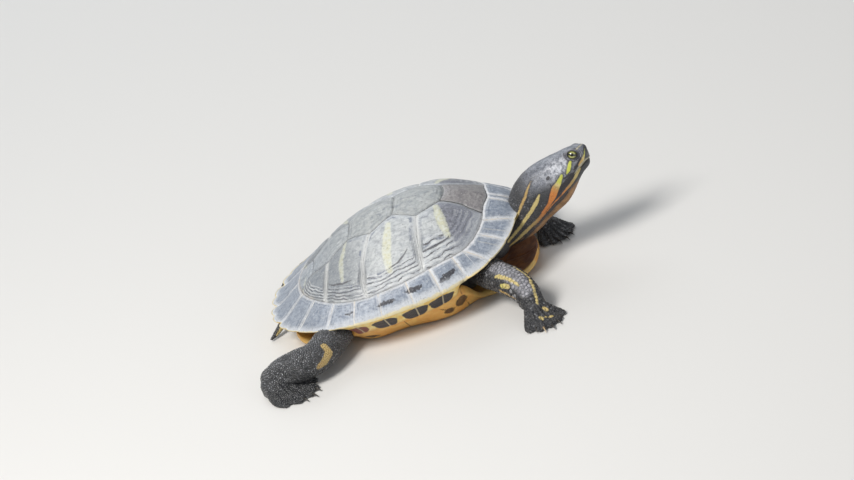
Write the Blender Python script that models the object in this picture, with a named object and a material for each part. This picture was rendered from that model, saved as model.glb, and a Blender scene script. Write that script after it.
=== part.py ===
"""A life-size pond slider turtle at rest on its lower shell, with the neck raised and the feet on the floor.

Sizes are named in millimetres and scaled to metres as each mesh is made. +X runs to the head, +Y to the
turtle's left and +Z up. The origin is on the floor, under the middle of the upper shell. Run it with
blender --background --python part.py, or from Blender's text editor.
"""

import math

import bmesh
import bpy
import numpy as np
from mathutils import Matrix, Vector

MM = 0.001  # metres in a millimetre
GAP = 0.35  # clearance between neighbouring solids

# Upper shell
SHELL_LENGTH = 220
SHELL_WIDTH = 168
SHELL_SQUARENESS_REAR, SHELL_SQUARENESS_FRONT = 2.12, 2.35  # 2 is an ellipse
SHELL_TAPER = 0.07  # how much narrower the front is than the middle
SHELL_WALL = 5
MARGINALS_A_SIDE = 12
SECTORS_A_MARGINAL = 2
SERRATION_START, SERRATION_FULL = -20, -90  # the rear scutes' notches deepen between these places
SEAM_NOTCH, TIP_BULGE = 0.022, 0.012  # as shares of the way out to the rim
DOME_CENTRE_X = 6
# Height above the floor against the place along the shell, from -1 at the rear rim to 1 at the front rim.
RIM_HEIGHT = [
    (-1, 24), (-0.75, 27), (-0.4, 29.5), (0, 31), (0.4, 34), (0.72, 39), (0.9, 46), (1, 54),
]
KEEL_HEIGHT = [
    (-1, 24), (-0.9, 28.5), (-0.8, 36), (-0.62, 50.5), (-0.35, 69.5), (-0.05, 82.5),
    (0.22, 86), (0.5, 83), (0.8, 68), (0.92, 61), (1, 54),
]
# Roundness of the shell's cross-section: the two powers of (1 - share ** first) ** second.
SECTION_POWERS = [
    (-1, 2.0, 1.0), (-0.6, 1.7, 0.86), (-0.2, 1.6, 0.7), (0.4, 1.75, 0.68), (0.75, 1.9, 0.82), (1, 2.0, 0.95),
]
OUTER_RINGS = (0.17, 0.34, 0.5, 0.64, 0.76, 0.86, 0.94, 1.0)  # shares of the way out to the rim
INNER_RINGS = (0.7, 0.42)
LIP_SHARE, LIP_DROP = 0.885, 13.5  # where the marginal scutes' underside meets the bridge
# share of the way out, drop below the rim beside the bridge, drop below the dome at the openings
EDGE_UNDERSIDE = ((0.935, 7.5, 4.6), (LIP_SHARE, LIP_DROP, 6.5), (0.85, 8.0, 6.5))
EDGE_ROUNDING_SHARE, EDGE_ROUNDING = 0.985, 2.4

# Lower shell and its bridges to the upper one
PLASTRON_STATIONS = 20
PLASTRON_REAR, PLASTRON_FRONT = -97, 111
PLASTRON_HALF_WIDTH = [
    (-97, 17), (-92, 31), (-80, 41), (-60, 46), (-44, 48), (-36, 56), (0, 57.5), (46, 55),
    (56, 46), (75, 42), (95, 33), (105, 26), (111, 17),
]
PLASTRON_LIFT = [
    (-97, 3), (-82, 0.6), (-72, 0), (-62, 0), (68, 0), (78, 0), (92, 1.4), (104, 3.6), (111, 6),
]
PLASTRON_WALL = 5
PLASTRON_EDGE = 2.4  # height of its sharp edge above its underside
PLASTRON_RIM_WIDTH = 0.8
BRIDGE_WALL_ACROSS, BRIDGE_WALL_UP = 5, 4
ANAL_NOTCH, ANAL_NOTCH_START, ANAL_NOTCH_HALF_WIDTH = 11, -70, 22
BRIDGE_REAR, BRIDGE_FRONT = -40, 52
BRIDGE_FADE = 12

TRUNK_ROOF_RINGS = (0.42, 0.7)  # under the upper shell's own inner rings
TRUNK_SIDE_RINGS = ((0.77, 0.42), (0.6, 0.0))  # share of the way out, share of the height
TRUNK_CLEARANCE = 1.2

# Neck: point on its centreline, half thickness across and half thickness up
NECK = [
    ((68, 0, 32), 20, 14), ((90, 0, 34), 20, 14), ((109, -1, 39.5), 19, 15.5),
    ((119.5, -2, 50), 18.2, 19.5), ((130, -3, 58.5), 17.6, 21.6), ((143, -4, 65), 17, 21.5),
]
NECK_SIDES, NECK_RINGS = 16, 9

# Head: pose of its own frame, whose X runs forward along the mouth from the tip of the upper beak
BEAK_TIP = (178.4, -4, 76.4)
HEAD_PITCH, HEAD_YAW, HEAD_ROLL = 20, -2, -14
# distance back from the beak tip, half width, height of the crown, depth of the chin
HEAD_SECTIONS = [
    (-0.2, 3.6, 11.0, 0.3), (1.0, 5.4, 12.4, 3.0), (3.0, 7.0, 13.6, 4.8), (6, 9.0, 15.0, 6.0),
    (10, 11.0, 16.4, 7.2), (15, 13.0, 17.2, 9.2), (21, 14.8, 18.0, 12.6), (28, 16.2, 19.0, 16.8),
    (35, 16.9, 20.2, 20.2), (42, 16.8, 21.4, 21.6),
]
# How far the snout's front overhangs the beak for each unit of height, and where that has faded out
SNOUT_LEAN, SNOUT_LENGTH = 0.3, 24
CHEEK_RISE, CHEEK_SAG = 0.28, 0.2  # shares of crown and chin that place the widest level
HEAD_SIDE_POWER, HEAD_TOP_POWER = 0.86, 0.9  # 1 is an ellipse and less is squarer
SNOUT_BULGE = (2.6, 0, 5.5)
HEAD_SIDES, HEAD_RINGS = 20, 13
HEAD_RING_CROWDING = 1.35  # the rings lie closer together towards the snout
HEAD_LENGTH = 42
EYE_BACK, EYE_OUT, EYE_UP, EYE_RADIUS = 7.6, 6.4, 10.9, 4.3
EYE_SEGMENTS, EYE_RINGS = 12, 8
JAW_LENGTH = 17
BEYOND_HEAD = 60  # half the size of a cutter that passes right across the head

LIMB_SIDES, LIMB_RINGS = 12, 5
# Each limb: centreline points with half thickness across and up. The first lies in the trunk, the third is
# the elbow or knee and the last lies in the foot.
FORELEG_RIGHT = [
    ((64, -34, 25), 14, 11.5), ((81, -55, 24.5), 13, 11.5), ((97, -75, 24), 12, 12),
    ((105, -85, 18.5), 11, 11), ((109, -93, 12.5), 9.5, 8.5), ((111, -98, 8.5), 8.5, 6.2),
]
FORELEG_LEFT = [
    ((64, 34, 25), 14, 11.5), ((81, 50, 25), 13, 11.5), ((96, 58, 23), 12, 12),
    ((105, 53, 17), 11, 10.5), ((111, 45, 11.5), 9.5, 8.5), ((114, 40, 8.5), 8.5, 6.2),
]
HIND_LEG_RIGHT = [
    ((-52, -34, 20), 16, 12), ((-57, -62, 17.5), 15.5, 12.5), ((-70, -90, 17.5), 14, 12.5),
    ((-85, -97, 17.5), 14.5, 13), ((-103, -94, 13), 13.5, 12), ((-112, -92, 8), 11, 8.5),
]
HIND_LEG_LEFT = [
    ((-50, 28, 19), 15, 11), ((-54, 48, 16), 14, 11.5), ((-63, 61, 16), 12.5, 11),
    ((-77, 61, 15.4), 13, 11.3), ((-92, 56, 11.5), 12.5, 10), ((-100, 53, 7.5), 10.5, 8),
]
TAIL = [
    ((-70, 0, 18), 8, 7), ((-90, 0, 16), 5.5, 5.2), ((-103, -1, 11), 3.9, 3.9), ((-112, -6, 5), 3, 3),
    ((-119, -12, 1.2), 1.8, 1.6),
]
TAIL_SIDES, TAIL_RINGS = 10, 8

# Feet: heel point, direction of the middle digit in degrees from +X, length, spread of the digits in degrees,
# width at the heel, height at the ankle, and how many of the digits carry claws
HAND_RIGHT = dict(heel=(107, -92), heading=-63, length=35, spread=56, heel_width=18, height=12.5, claws=5)
HAND_LEFT = dict(heel=(113, 41), heading=-52, length=31, spread=56, heel_width=18, height=12.5, claws=5)
FOOT_RIGHT = dict(heel=(-118, -89), heading=-40, length=53, spread=42, heel_width=21, height=15, claws=4)
FOOT_LEFT = dict(heel=(-105, 51), heading=33, length=52, spread=42, heel_width=21, height=14, claws=4)
DIGITS = 5
DIGIT_ROUNDING = 0.34  # how much shorter the outer digits are
WEB_DEPTH = 0.14  # how much shorter the web is than the digits
DIGIT_STEPS = 4  # mesh columns for each digit
FOOT_ROWS = (0.0, 0.14, 0.36, 0.62, 0.84, 1.0)
HEEL_NARROWING, HEEL_ROUNDING = 0.3, 0.45  # shares of its width and height that the heel's edge keeps
INSTEP_START, INSTEP_END = 0.2, 0.85  # the ankle's height falls away between these rows
DIGIT_RIDGE, SOLE_THICKNESS, HEEL_THICKNESS = 1.6, 2.0, 2.4
SOLE_INSET = 0.7
CLAW_LENGTH, CLAW_RADIUS, CLAW_SIDES, CLAW_RINGS = 7.5, 1.3, 5, 4
CLAW_SUNK = 2.2  # how far back from the digit's tip the claw starts
CLAW_HEIGHT, CLAW_ARCH, CLAW_FALL, CLAW_TIP_RADIUS = 2.3, 0.9, 1.9, 0.18

COLOURS = {  # base colour, roughness
    "shell_horn": ((0.22, 0.21, 0.19), 0.5),
    "plastron_horn": ((0.72, 0.42, 0.12), 0.45),
    "dark_skin": ((0.05, 0.05, 0.045), 0.5),
    "neck_skin": ((0.09, 0.09, 0.075), 0.5),
    "eye": ((0.45, 0.5, 0.12), 0.1),
    "claw_horn": ((0.06, 0.05, 0.045), 0.4),
}


def clear_scene():
    for obj in list(bpy.data.objects):
        bpy.data.objects.remove(obj, do_unlink=True)


def material(name):
    found = bpy.data.materials.get(name)
    if found:
        return found
    made = bpy.data.materials.new(name)
    made.use_nodes = True
    shader = made.node_tree.nodes["Principled BSDF"]
    colour, roughness = COLOURS[name]
    shader.inputs["Base Color"].default_value = (*colour, 1)
    shader.inputs["Roughness"].default_value = roughness
    shader.inputs["Metallic"].default_value = 0
    return made


def smooth_table(knots, x):
    """Value at x on a smooth curve through (x, value) pairs, level beyond its ends."""
    xs, ys = np.array(knots, float).T
    slopes = np.gradient(ys, xs)
    x = float(np.clip(x, xs[0], xs[-1]))
    i = int(np.clip(np.searchsorted(xs, x) - 1, 0, len(xs) - 2))
    width = xs[i + 1] - xs[i]
    t = (x - xs[i]) / width
    return float(
        (2 * t**3 - 3 * t**2 + 1) * ys[i]
        + (t**3 - 2 * t**2 + t) * width * slopes[i]
        + (3 * t**2 - 2 * t**3) * ys[i + 1]
        + (t**3 - t**2) * width * slopes[i + 1]
    )


def fade(low, high, x):
    """0 below low, 1 above high and smooth between."""
    t = min(1.0, max(0.0, (x - low) / (high - low)))
    return t * t * (3 - 2 * t)


def solid(name, points, faces, colour):
    """A mesh object from points in millimetres."""
    mesh = bpy.data.meshes.new(name)
    mesh.from_pydata([Vector(p) * MM for p in points], [], faces)
    mesh.materials.append(material(colour))
    mesh.validate()
    obj = bpy.data.objects.new(name, mesh)
    bpy.context.collection.objects.link(obj)
    shape = bmesh.new()
    shape.from_mesh(mesh)
    bmesh.ops.triangulate(shape, faces=shape.faces)
    bmesh.ops.recalc_face_normals(shape, faces=shape.faces)
    shape.to_mesh(mesh)
    shape.free()
    return obj


def skin_of_rings(rings, first_pole, last_pole):
    """Points and faces of a closed surface over rings of equal length, with a point at each end."""
    sides = len(rings[0])
    points = [first_pole, *[p for ring in rings for p in ring], last_pole]
    faces = [(0, 1 + (k + 1) % sides, 1 + k) for k in range(sides)]
    for row in range(len(rings) - 1):
        for k in range(sides):
            a = 1 + row * sides + k
            b = 1 + row * sides + (k + 1) % sides
            faces.append((a, b, b + sides, a + sides))
    last = len(points) - 1
    start = 1 + (len(rings) - 1) * sides
    faces += [(last, start + k, start + (k + 1) % sides) for k in range(sides)]
    return points, faces


# ---- Upper shell ----


def half_width(x):
    """Half width of the upper shell's outline at x."""
    share = min(1.0, abs(x) / (SHELL_LENGTH / 2))
    squareness = SHELL_SQUARENESS_REAR if x < 0 else SHELL_SQUARENESS_FRONT
    rounded = (1 - share**squareness) ** (1 / squareness)
    return SHELL_WIDTH / 2 * rounded * (1 - SHELL_TAPER * x / (SHELL_LENGTH / 2))


def rim_height(x):
    return smooth_table(RIM_HEIGHT, x / (SHELL_LENGTH / 2))


def dome_height(x, y):
    """Height of the shell's outside at a place inside its outline."""
    place = x / (SHELL_LENGTH / 2)
    width = half_width(x)
    share = min(1.0, abs(y) / width) if width > 1e-3 else 0.0
    first = smooth_table([(k[0], k[1]) for k in SECTION_POWERS], place)
    second = smooth_table([(k[0], k[2]) for k in SECTION_POWERS], place)
    rim = rim_height(x)
    keel = smooth_table(KEEL_HEIGHT, place)
    return rim + (keel - rim) * max(0.0, 1 - share**first) ** second


def outline_points(count):
    """Points at equal steps along the shell's outline, from the front round by the left."""
    angles = np.linspace(0, 2 * math.pi, 1441)
    dense = []
    for angle in angles:
        x = SHELL_LENGTH / 2 * math.cos(angle)
        dense.append((x, math.copysign(half_width(x), math.sin(angle))))
    dense = np.array(dense)
    lengths = np.concatenate([[0], np.cumsum(np.linalg.norm(np.diff(dense, axis=0), axis=1))])
    wanted = np.linspace(0, lengths[-1], count, endpoint=False)
    return [(np.interp(w, lengths, dense[:, 0]), np.interp(w, lengths, dense[:, 1])) for w in wanted]


def rim_points():
    """The rim, notched at each seam of the rear marginal scutes."""
    count = 2 * MARGINALS_A_SIDE * SECTORS_A_MARGINAL
    points = []
    for k, (x, y) in enumerate(outline_points(count)):
        at_seam = k % SECTORS_A_MARGINAL == 0
        reach = 1 + fade(SERRATION_START, SERRATION_FULL, x) * (-SEAM_NOTCH if at_seam else TIP_BULGE)
        points.append((DOME_CENTRE_X + (x - DOME_CENTRE_X) * reach, y * reach))
    return points


def beside_bridge(x):
    """1 along the bridge and 0 at the shell's front and rear openings."""
    rear = fade(BRIDGE_REAR - BRIDGE_FADE, BRIDGE_REAR, x)
    front = 1 - fade(BRIDGE_FRONT, BRIDGE_FRONT + BRIDGE_FADE, x)
    return rear * front


def toward_centre(point, share):
    x, y = point
    return DOME_CENTRE_X + (x - DOME_CENTRE_X) * share, y * share


def make_carapace():
    rim = rim_points()
    rings = []
    for share in OUTER_RINGS:
        places = [toward_centre(p, share) for p in rim]
        rings.append([(x, y, dome_height(x, y)) for x, y in places])
    rings.append([(*toward_centre(p, EDGE_ROUNDING_SHARE), rim_height(p[0]) - EDGE_ROUNDING) for p in rim])
    for share, bridge_drop, open_drop in EDGE_UNDERSIDE:
        ring = []
        for p in rim:
            x, y = toward_centre(p, share)
            bridged = beside_bridge(p[0])
            low = rim_height(p[0]) - bridge_drop
            high = dome_height(x, y) - open_drop
            ring.append((x, y, bridged * low + (1 - bridged) * high))
        rings.append(ring)
    for share in INNER_RINGS:
        places = [toward_centre(p, share) for p in rim]
        rings.append([(x, y, dome_height(x, y) - SHELL_WALL) for x, y in places])
    crown = dome_height(DOME_CENTRE_X, 0)
    points, faces = skin_of_rings(rings, (DOME_CENTRE_X, 0, crown), (DOME_CENTRE_X, 0, crown - SHELL_WALL))
    return solid("carapace", points, faces, "shell_horn")


# ---- Lower shell ----


def lip_beside(x):
    """Place, across and up, where the bridge meets the upper shell at x."""
    out_x = DOME_CENTRE_X + (x - DOME_CENTRE_X) / LIP_SHARE
    return LIP_SHARE * half_width(out_x), rim_height(out_x) - LIP_DROP


def make_plastron():
    rings = []
    for x in np.linspace(PLASTRON_REAR, PLASTRON_FRONT, PLASTRON_STATIONS):
        width = smooth_table(PLASTRON_HALF_WIDTH, x)
        lift = max(0.0, smooth_table(PLASTRON_LIFT, x))
        bridged = beside_bridge(x)
        lip_y, lip_z = lip_beside(x)
        edge_y = width + bridged * (lip_y - width)
        edge_z = lift + PLASTRON_EDGE
        edge_z += bridged * (lip_z - edge_z)
        rim_y = edge_y - PLASTRON_RIM_WIDTH
        half = [
            (0.45 * width, lift), (0.84 * width, lift), (0.97 * width, lift + PLASTRON_EDGE / 2),
            (edge_y, edge_z), (rim_y, edge_z + 1 + BRIDGE_WALL_UP * bridged),
            (rim_y - 0.6 - BRIDGE_WALL_ACROSS * bridged, edge_z + 2.2 + 3 * bridged),
            (0.92 * width, lift + PLASTRON_WALL + 0.6), (0.5 * width, lift + PLASTRON_WALL),
        ]
        section = [(0, lift), *half, (0, lift + PLASTRON_WALL), *[(-y, z) for y, z in reversed(half)]]
        notch = ANAL_NOTCH * fade(ANAL_NOTCH_START, PLASTRON_REAR, x)
        rings.append([(x + notch * max(0.0, 1 - abs(y) / ANAL_NOTCH_HALF_WIDTH), y, z) for y, z in section])
    first, last = np.array(rings[0]).mean(axis=0), np.array(rings[-1]).mean(axis=0)
    first[0] = rings[0][0][0]
    points, faces = skin_of_rings(rings, tuple(first), tuple(last))
    return solid("plastron", points, faces, "plastron_horn")


# ---- Trunk ----


def make_trunk():
    """The flesh that fills the shell, seen in the openings round the neck, legs and tail."""

    def roof(x, y):
        return dome_height(x, y) - SHELL_WALL - TRUNK_CLEARANCE

    rim = rim_points()
    rings = []
    for share in TRUNK_ROOF_RINGS:
        places = [toward_centre(p, share) for p in rim]
        rings.append([(x, y, roof(x, y)) for x, y in places])
    for share, height in TRUNK_SIDE_RINGS:
        ring = []
        for p in rim:
            x, y = toward_centre(p, share)
            top = roof(*toward_centre(p, TRUNK_ROOF_RINGS[-1]))
            floor = smooth_table(PLASTRON_LIFT, x) + PLASTRON_WALL + TRUNK_CLEARANCE
            ring.append((x, y, floor + (top - floor) * height))
        rings.append(ring)
    crown, keel = roof(DOME_CENTRE_X, 0), PLASTRON_WALL + TRUNK_CLEARANCE
    points, faces = skin_of_rings(rings, (DOME_CENTRE_X, 0, crown), (DOME_CENTRE_X, 0, keel))
    return solid("trunk", points, faces, "dark_skin")


# ---- Round tapered limbs ----


def along(stations, share):
    """Point, half thickness across and half thickness up at a share of the way along the stations."""
    steps = range(len(stations))
    at = share * (len(stations) - 1)
    point = Vector([smooth_table([(i, stations[i][0][axis]) for i in steps], at) for axis in range(3)])
    across, up = (smooth_table([(i, stations[i][j]) for i in steps], at) for j in (1, 2))
    return point, across, up


def limb_ring(stations, share, sides):
    """The centre and then the outline of a limb at a share of the way along it."""
    point, across, up = along(stations, share)
    before = along(stations, max(0, share - 0.01))[0]
    after = along(stations, min(1, share + 0.01))[0]
    forward = (after - before).normalized()
    side = forward.cross(Vector((0, 0, 1))).normalized()
    top = side.cross(forward)
    turns = [2 * math.pi * k / sides for k in range(sides)]
    return [point, *(point + side * across * math.cos(a) + top * up * math.sin(a) for a in turns)]


def tube(name, stations, start, end, rings, sides, colour):
    """A length of limb between two shares of the way along, never below the floor."""
    made = []
    for share in np.linspace(start, end, rings):
        made.append([Vector((p.x, p.y, max(0.0, p.z))) for p in limb_ring(stations, share, sides)])
    points, faces = skin_of_rings([ring[1:] for ring in made], made[0][0], made[-1][0])
    return solid(name, points, faces, colour)


# ---- Feet and claws ----


def foot_edge(foot, turn):
    """Length of the foot at a turn from -1 to 1 across it, and how near that turn is to a digit's tip."""
    phase = (turn + 1) / 2 * DIGITS
    at_tip = 0.5 - 0.5 * math.cos(2 * math.pi * phase)
    rounding = 1 - DIGIT_ROUNDING * turn * turn
    return foot["length"] * rounding * (1 - WEB_DEPTH * (1 - at_tip)), at_tip


def foot_point(foot, row, turn):
    """A point on top of the foot: row runs from the heel to the digits' tips and turn across it."""
    length, at_tip = foot_edge(foot, turn)
    heading = math.radians(foot["heading"])
    forward = Vector((math.cos(heading), math.sin(heading), 0))
    side = Vector((-math.sin(heading), math.cos(heading), 0))
    fan = math.radians(foot["spread"] / 2 * turn) * min(1.0, row * 1.5)
    heel_roundness = 1 - (1 - min(1.0, row * DIGITS)) ** 2
    heel_share = math.sqrt(HEEL_NARROWING + (1 - HEEL_NARROWING) * heel_roundness)
    place = Vector((*foot["heel"], 0)) + side * foot["heel_width"] / 2 * turn * heel_share
    place += (forward * math.cos(fan) + side * math.sin(fan)) * length * row
    instep = foot["height"] * (1 - fade(INSTEP_START, INSTEP_END, row))
    crown = math.sqrt(max(0.0, 1 - (0.92 * turn) ** 2))
    heel = HEEL_ROUNDING + (1 - HEEL_ROUNDING) * fade(0, INSTEP_START, row)
    ridge = DIGIT_RIDGE * at_tip * fade(0.35, 0.7, row) * (1 - 0.45 * row)
    height = instep * crown * heel + SOLE_THICKNESS + HEEL_THICKNESS * (1 - row) + ridge
    return Vector((place.x, place.y, height))


def make_foot(name, foot):
    columns = DIGITS * DIGIT_STEPS
    turns = [-1 + 2 * k / columns for k in range(columns + 1)]
    points = [foot_point(foot, row, turn) for row in FOOT_ROWS for turn in turns]
    wide = columns + 1
    faces = []
    for row in range(len(FOOT_ROWS) - 1):
        for k in range(columns):
            a = row * wide + k
            faces.append((a, a + 1, a + wide + 1, a + wide))
    rows = len(FOOT_ROWS)
    border = [*range(wide), *[r * wide + columns for r in range(1, rows)]]
    border += reversed(range((rows - 1) * wide, rows * wide - 1))
    border += [r * wide for r in range(rows - 2, 0, -1)]
    under = len(points)
    centre = sum((Vector(points[i]) for i in border), Vector()) / len(border)
    for i in border:
        edge = Vector((points[i].x, points[i].y, 0))
        points.append(edge + (Vector((centre.x, centre.y, 0)) - edge).normalized() * SOLE_INSET)
    for k in range(len(border)):
        after = (k + 1) % len(border)
        faces.append((border[k], border[after], under + after, under + k))
    faces.append(tuple(under + k for k in range(len(border))))
    return solid(name, points, faces, "dark_skin")


def make_claws(name, foot, room):
    """A curved, pointed claw on each clawed digit, counted from the inner side."""
    inner_first = 1 if foot["heel"][1] < 0 else -1
    for number in range(foot["claws"]):
        turn = inner_first * (1 - (2 * number + 1) / DIGITS)
        tip = foot_point(foot, 1.0, turn)
        root = foot_point(foot, 0.9, turn)
        forward = Vector((tip.x - root.x, tip.y - root.y, 0)).normalized()
        stations = []
        for share in np.linspace(0, 1, CLAW_RINGS):
            place = tip + forward * (CLAW_LENGTH * share - CLAW_SUNK)
            height = CLAW_HEIGHT + CLAW_ARCH * math.sin(math.pi * share) - CLAW_FALL * share**2
            radius = CLAW_RADIUS * (1 - share) ** 0.6 + CLAW_TIP_RADIUS
            stations.append(((place.x, place.y, height), radius, radius * 1.15))
        claw = tube(f"{name}_{number + 1}", stations, 0, 1, CLAW_RINGS, CLAW_SIDES, "claw_horn")
        carve(claw, room)


# ---- Cutting pieces clear of each other ----


def as_cutter(obj):
    obj.hide_render = True
    obj.display_type = "WIRE"
    return obj


def grown(obj, by):
    """A hidden copy of a solid with its surface moved outwards, to cut its neighbours clear of it."""
    shape = bmesh.new()
    shape.from_mesh(obj.data)
    shape.normal_update()
    moves = [(v, v.co + v.normal * by * MM * v.calc_shell_factor()) for v in shape.verts]
    for vertex, place in moves:
        vertex.co = place
    mesh = bpy.data.meshes.new(obj.name + "_room")
    shape.to_mesh(mesh)
    shape.free()
    room = bpy.data.objects.new(mesh.name, mesh)
    bpy.context.collection.objects.link(room)
    return as_cutter(room)


def carve(obj, *cutters, operation="DIFFERENCE"):
    """Applies a Boolean with each cutter, then keeps the largest body that is left."""
    for cutter in cutters:
        cut = obj.modifiers.new("cut", "BOOLEAN")
        cut.object = cutter
        cut.operation = operation
        cut.solver = "EXACT"
        bpy.context.view_layer.update()
        evaluated = obj.evaluated_get(bpy.context.evaluated_depsgraph_get())
        mesh = bpy.data.meshes.new_from_object(evaluated)
        obj.modifiers.clear()
        obj.data = mesh
    keep_largest(obj)
    return obj


def keep_largest(obj):
    shape = bmesh.new()
    shape.from_mesh(obj.data)
    bmesh.ops.remove_doubles(shape, verts=shape.verts, dist=0.02 * MM)
    bmesh.ops.dissolve_degenerate(shape, edges=shape.edges, dist=0.02 * MM)
    left, bodies = set(shape.verts), []
    while left:
        body, front = set(), [left.pop()]
        while front:
            vertex = front.pop()
            body.add(vertex)
            for edge in vertex.link_edges:
                other = edge.other_vert(vertex)
                if other in left:
                    left.remove(other)
                    front.append(other)
        bodies.append(body)
    bodies.sort(key=len)
    bmesh.ops.delete(shape, geom=[v for body in bodies[:-1] for v in body], context="VERTS")
    bmesh.ops.recalc_face_normals(shape, faces=shape.faces)
    shape.to_mesh(obj.data)
    shape.free()


# ---- Head ----


def in_head(x, y, z):
    """A place in the head's own frame, as a point of the whole animal."""
    place = Matrix.Rotation(math.radians(HEAD_ROLL), 3, "X") @ Vector((x, y, z))
    place = Matrix.Rotation(math.radians(-HEAD_PITCH), 3, "Y") @ place
    return Vector(BEAK_TIP) + Matrix.Rotation(math.radians(HEAD_YAW), 3, "Z") @ place


def head_ring(back):
    """A section across the head, whose top leans forward at the snout."""
    lean = SNOUT_LEAN * (1 - fade(0, SNOUT_LENGTH, back))
    width, crown, chin = (smooth_table([(s[0], s[j]) for s in HEAD_SECTIONS], back) for j in (1, 2, 3))
    middle = CHEEK_RISE * crown - CHEEK_SAG * chin
    ring = []
    for k in range(HEAD_SIDES):
        turn = 2 * math.pi * k / HEAD_SIDES
        y = width * math.copysign(abs(math.cos(turn)) ** HEAD_SIDE_POWER, math.cos(turn))
        reach = crown - middle if math.sin(turn) > 0 else chin + middle
        z = middle + reach * math.copysign(abs(math.sin(turn)) ** HEAD_TOP_POWER, math.sin(turn))
        ring.append(in_head(-back + lean * max(0, z), y, z))
    return ring, in_head(-back + lean * middle, 0, middle)


def box_in_head(name, low, high):
    """A cutter that fills the range from low to high in the head's frame."""
    corners = [in_head(*[(low, high)[bit >> axis & 1][axis] for axis in range(3)]) for bit in range(8)]
    faces = [(0, 2, 3, 1), (4, 5, 7, 6), (0, 1, 5, 4), (2, 6, 7, 3), (0, 4, 6, 2), (1, 3, 7, 5)]
    return as_cutter(solid(name, corners, faces, "dark_skin"))


def ball_in_head(name, centre, radius):
    """An eyeball, or the cutter for its socket."""
    place = in_head(*centre) * MM
    bpy.ops.mesh.primitive_uv_sphere_add(
        segments=EYE_SEGMENTS, ring_count=EYE_RINGS, radius=radius * MM, location=place
    )
    ball = bpy.context.object
    ball.name = name
    ball.data.materials.append(material("eye"))
    return ball


def make_head():
    """Head, lower jaw and eyes. A thin cut along the mouth parts the jaw from the head."""
    backs = [HEAD_LENGTH * (k / (HEAD_RINGS - 1)) ** HEAD_RING_CROWDING for k in range(HEAD_RINGS)]
    made = [head_ring(back) for back in backs]
    front = made[0][1].lerp(in_head(*SNOUT_BULGE), 0.8)
    points, faces = skin_of_rings([ring for ring, _ in made], front, made[-1][1])
    head = solid("head", points, faces, "neck_skin")
    jaw = solid("lower_jaw", points, faces, "neck_skin")
    far = BEYOND_HEAD
    below = box_in_head("jaw_keep", (-JAW_LENGTH, -far, -far), (far, far, -GAP / 2))
    carve(jaw, below, operation="INTERSECT")
    carve(head, box_in_head("jaw_room", (-JAW_LENGTH - GAP, -far, -far), (far, far, GAP / 2)))
    for side, label in ((-1, "right"), (1, "left")):
        centre = (-EYE_BACK, side * EYE_OUT, EYE_UP)
        ball_in_head(f"eye_{label}", centre, EYE_RADIUS)
        carve(head, as_cutter(ball_in_head(f"socket_{label}", centre, EYE_RADIUS + GAP)))


def make_leg(upper, lower, foot, stations, foot_sizes, neighbours):
    """One leg as three solids, each cut clear of what it meets, with its claws."""
    sole = make_foot(foot, foot_sizes)
    sole_room = grown(sole, GAP)
    joint = 2 / (len(stations) - 1)
    thigh = tube(upper, stations, 0, joint, LIMB_RINGS, LIMB_SIDES, "dark_skin")
    shank = tube(lower, stations, joint, 1, LIMB_RINGS, LIMB_SIDES, "dark_skin")
    carve(shank, sole_room, grown(thigh, GAP), *neighbours[1:])
    carve(thigh, *neighbours)
    make_claws(foot.replace("foot", "hind_claw").replace("hand", "fore_claw"), foot_sizes, sole_room)


def main():
    clear_scene()
    carapace, plastron, trunk = make_carapace(), make_plastron(), make_trunk()
    around = grown(trunk, GAP), grown(carapace, GAP), grown(plastron, GAP)
    carve(plastron, around[1])
    make_head()
    neck = tube("neck", NECK, 0, 1, NECK_RINGS, NECK_SIDES, "neck_skin")
    far = BEYOND_HEAD
    carve(neck, *around, box_in_head("head_room", (-HEAD_LENGTH - GAP, -far, -far), (far, far, far)))
    carve(tube("tail", TAIL, 0, 1, TAIL_RINGS, TAIL_SIDES, "dark_skin"), *around)
    make_leg("upper_arm_right", "forearm_right", "hand_right", FORELEG_RIGHT, HAND_RIGHT, around)
    make_leg("upper_arm_left", "forearm_left", "hand_left", FORELEG_LEFT, HAND_LEFT, around)
    make_leg("thigh_right", "shank_right", "foot_right", HIND_LEG_RIGHT, FOOT_RIGHT, around)
    make_leg("thigh_left", "shank_left", "foot_left", HIND_LEG_LEFT, FOOT_LEFT, around)


main()
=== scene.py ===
import math

import bpy
import numpy as np
from mathutils import Matrix, Vector
from mathutils.kdtree import KDTree


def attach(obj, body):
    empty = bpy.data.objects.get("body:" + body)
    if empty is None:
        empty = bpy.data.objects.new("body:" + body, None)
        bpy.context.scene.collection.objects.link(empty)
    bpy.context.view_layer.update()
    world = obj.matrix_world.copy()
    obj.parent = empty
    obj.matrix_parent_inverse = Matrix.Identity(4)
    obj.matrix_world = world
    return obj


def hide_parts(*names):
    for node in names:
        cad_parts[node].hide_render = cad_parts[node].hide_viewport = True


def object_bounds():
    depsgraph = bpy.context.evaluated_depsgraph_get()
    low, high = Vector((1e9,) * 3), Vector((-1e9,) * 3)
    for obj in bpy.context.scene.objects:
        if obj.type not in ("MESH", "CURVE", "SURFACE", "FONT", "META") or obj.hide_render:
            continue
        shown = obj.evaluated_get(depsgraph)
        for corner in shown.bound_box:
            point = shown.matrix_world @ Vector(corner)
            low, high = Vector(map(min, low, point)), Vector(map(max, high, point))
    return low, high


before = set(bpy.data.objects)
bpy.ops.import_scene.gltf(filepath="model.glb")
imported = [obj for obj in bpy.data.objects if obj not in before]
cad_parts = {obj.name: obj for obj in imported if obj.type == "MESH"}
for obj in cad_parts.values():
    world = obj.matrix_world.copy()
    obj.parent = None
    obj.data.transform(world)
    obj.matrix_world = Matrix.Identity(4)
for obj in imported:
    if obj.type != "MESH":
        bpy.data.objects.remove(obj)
cadBounds = [list(corner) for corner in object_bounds()]
mm = 0.001  # places and sizes below are in millimetres
fullTurn = 2 * math.pi
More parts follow.
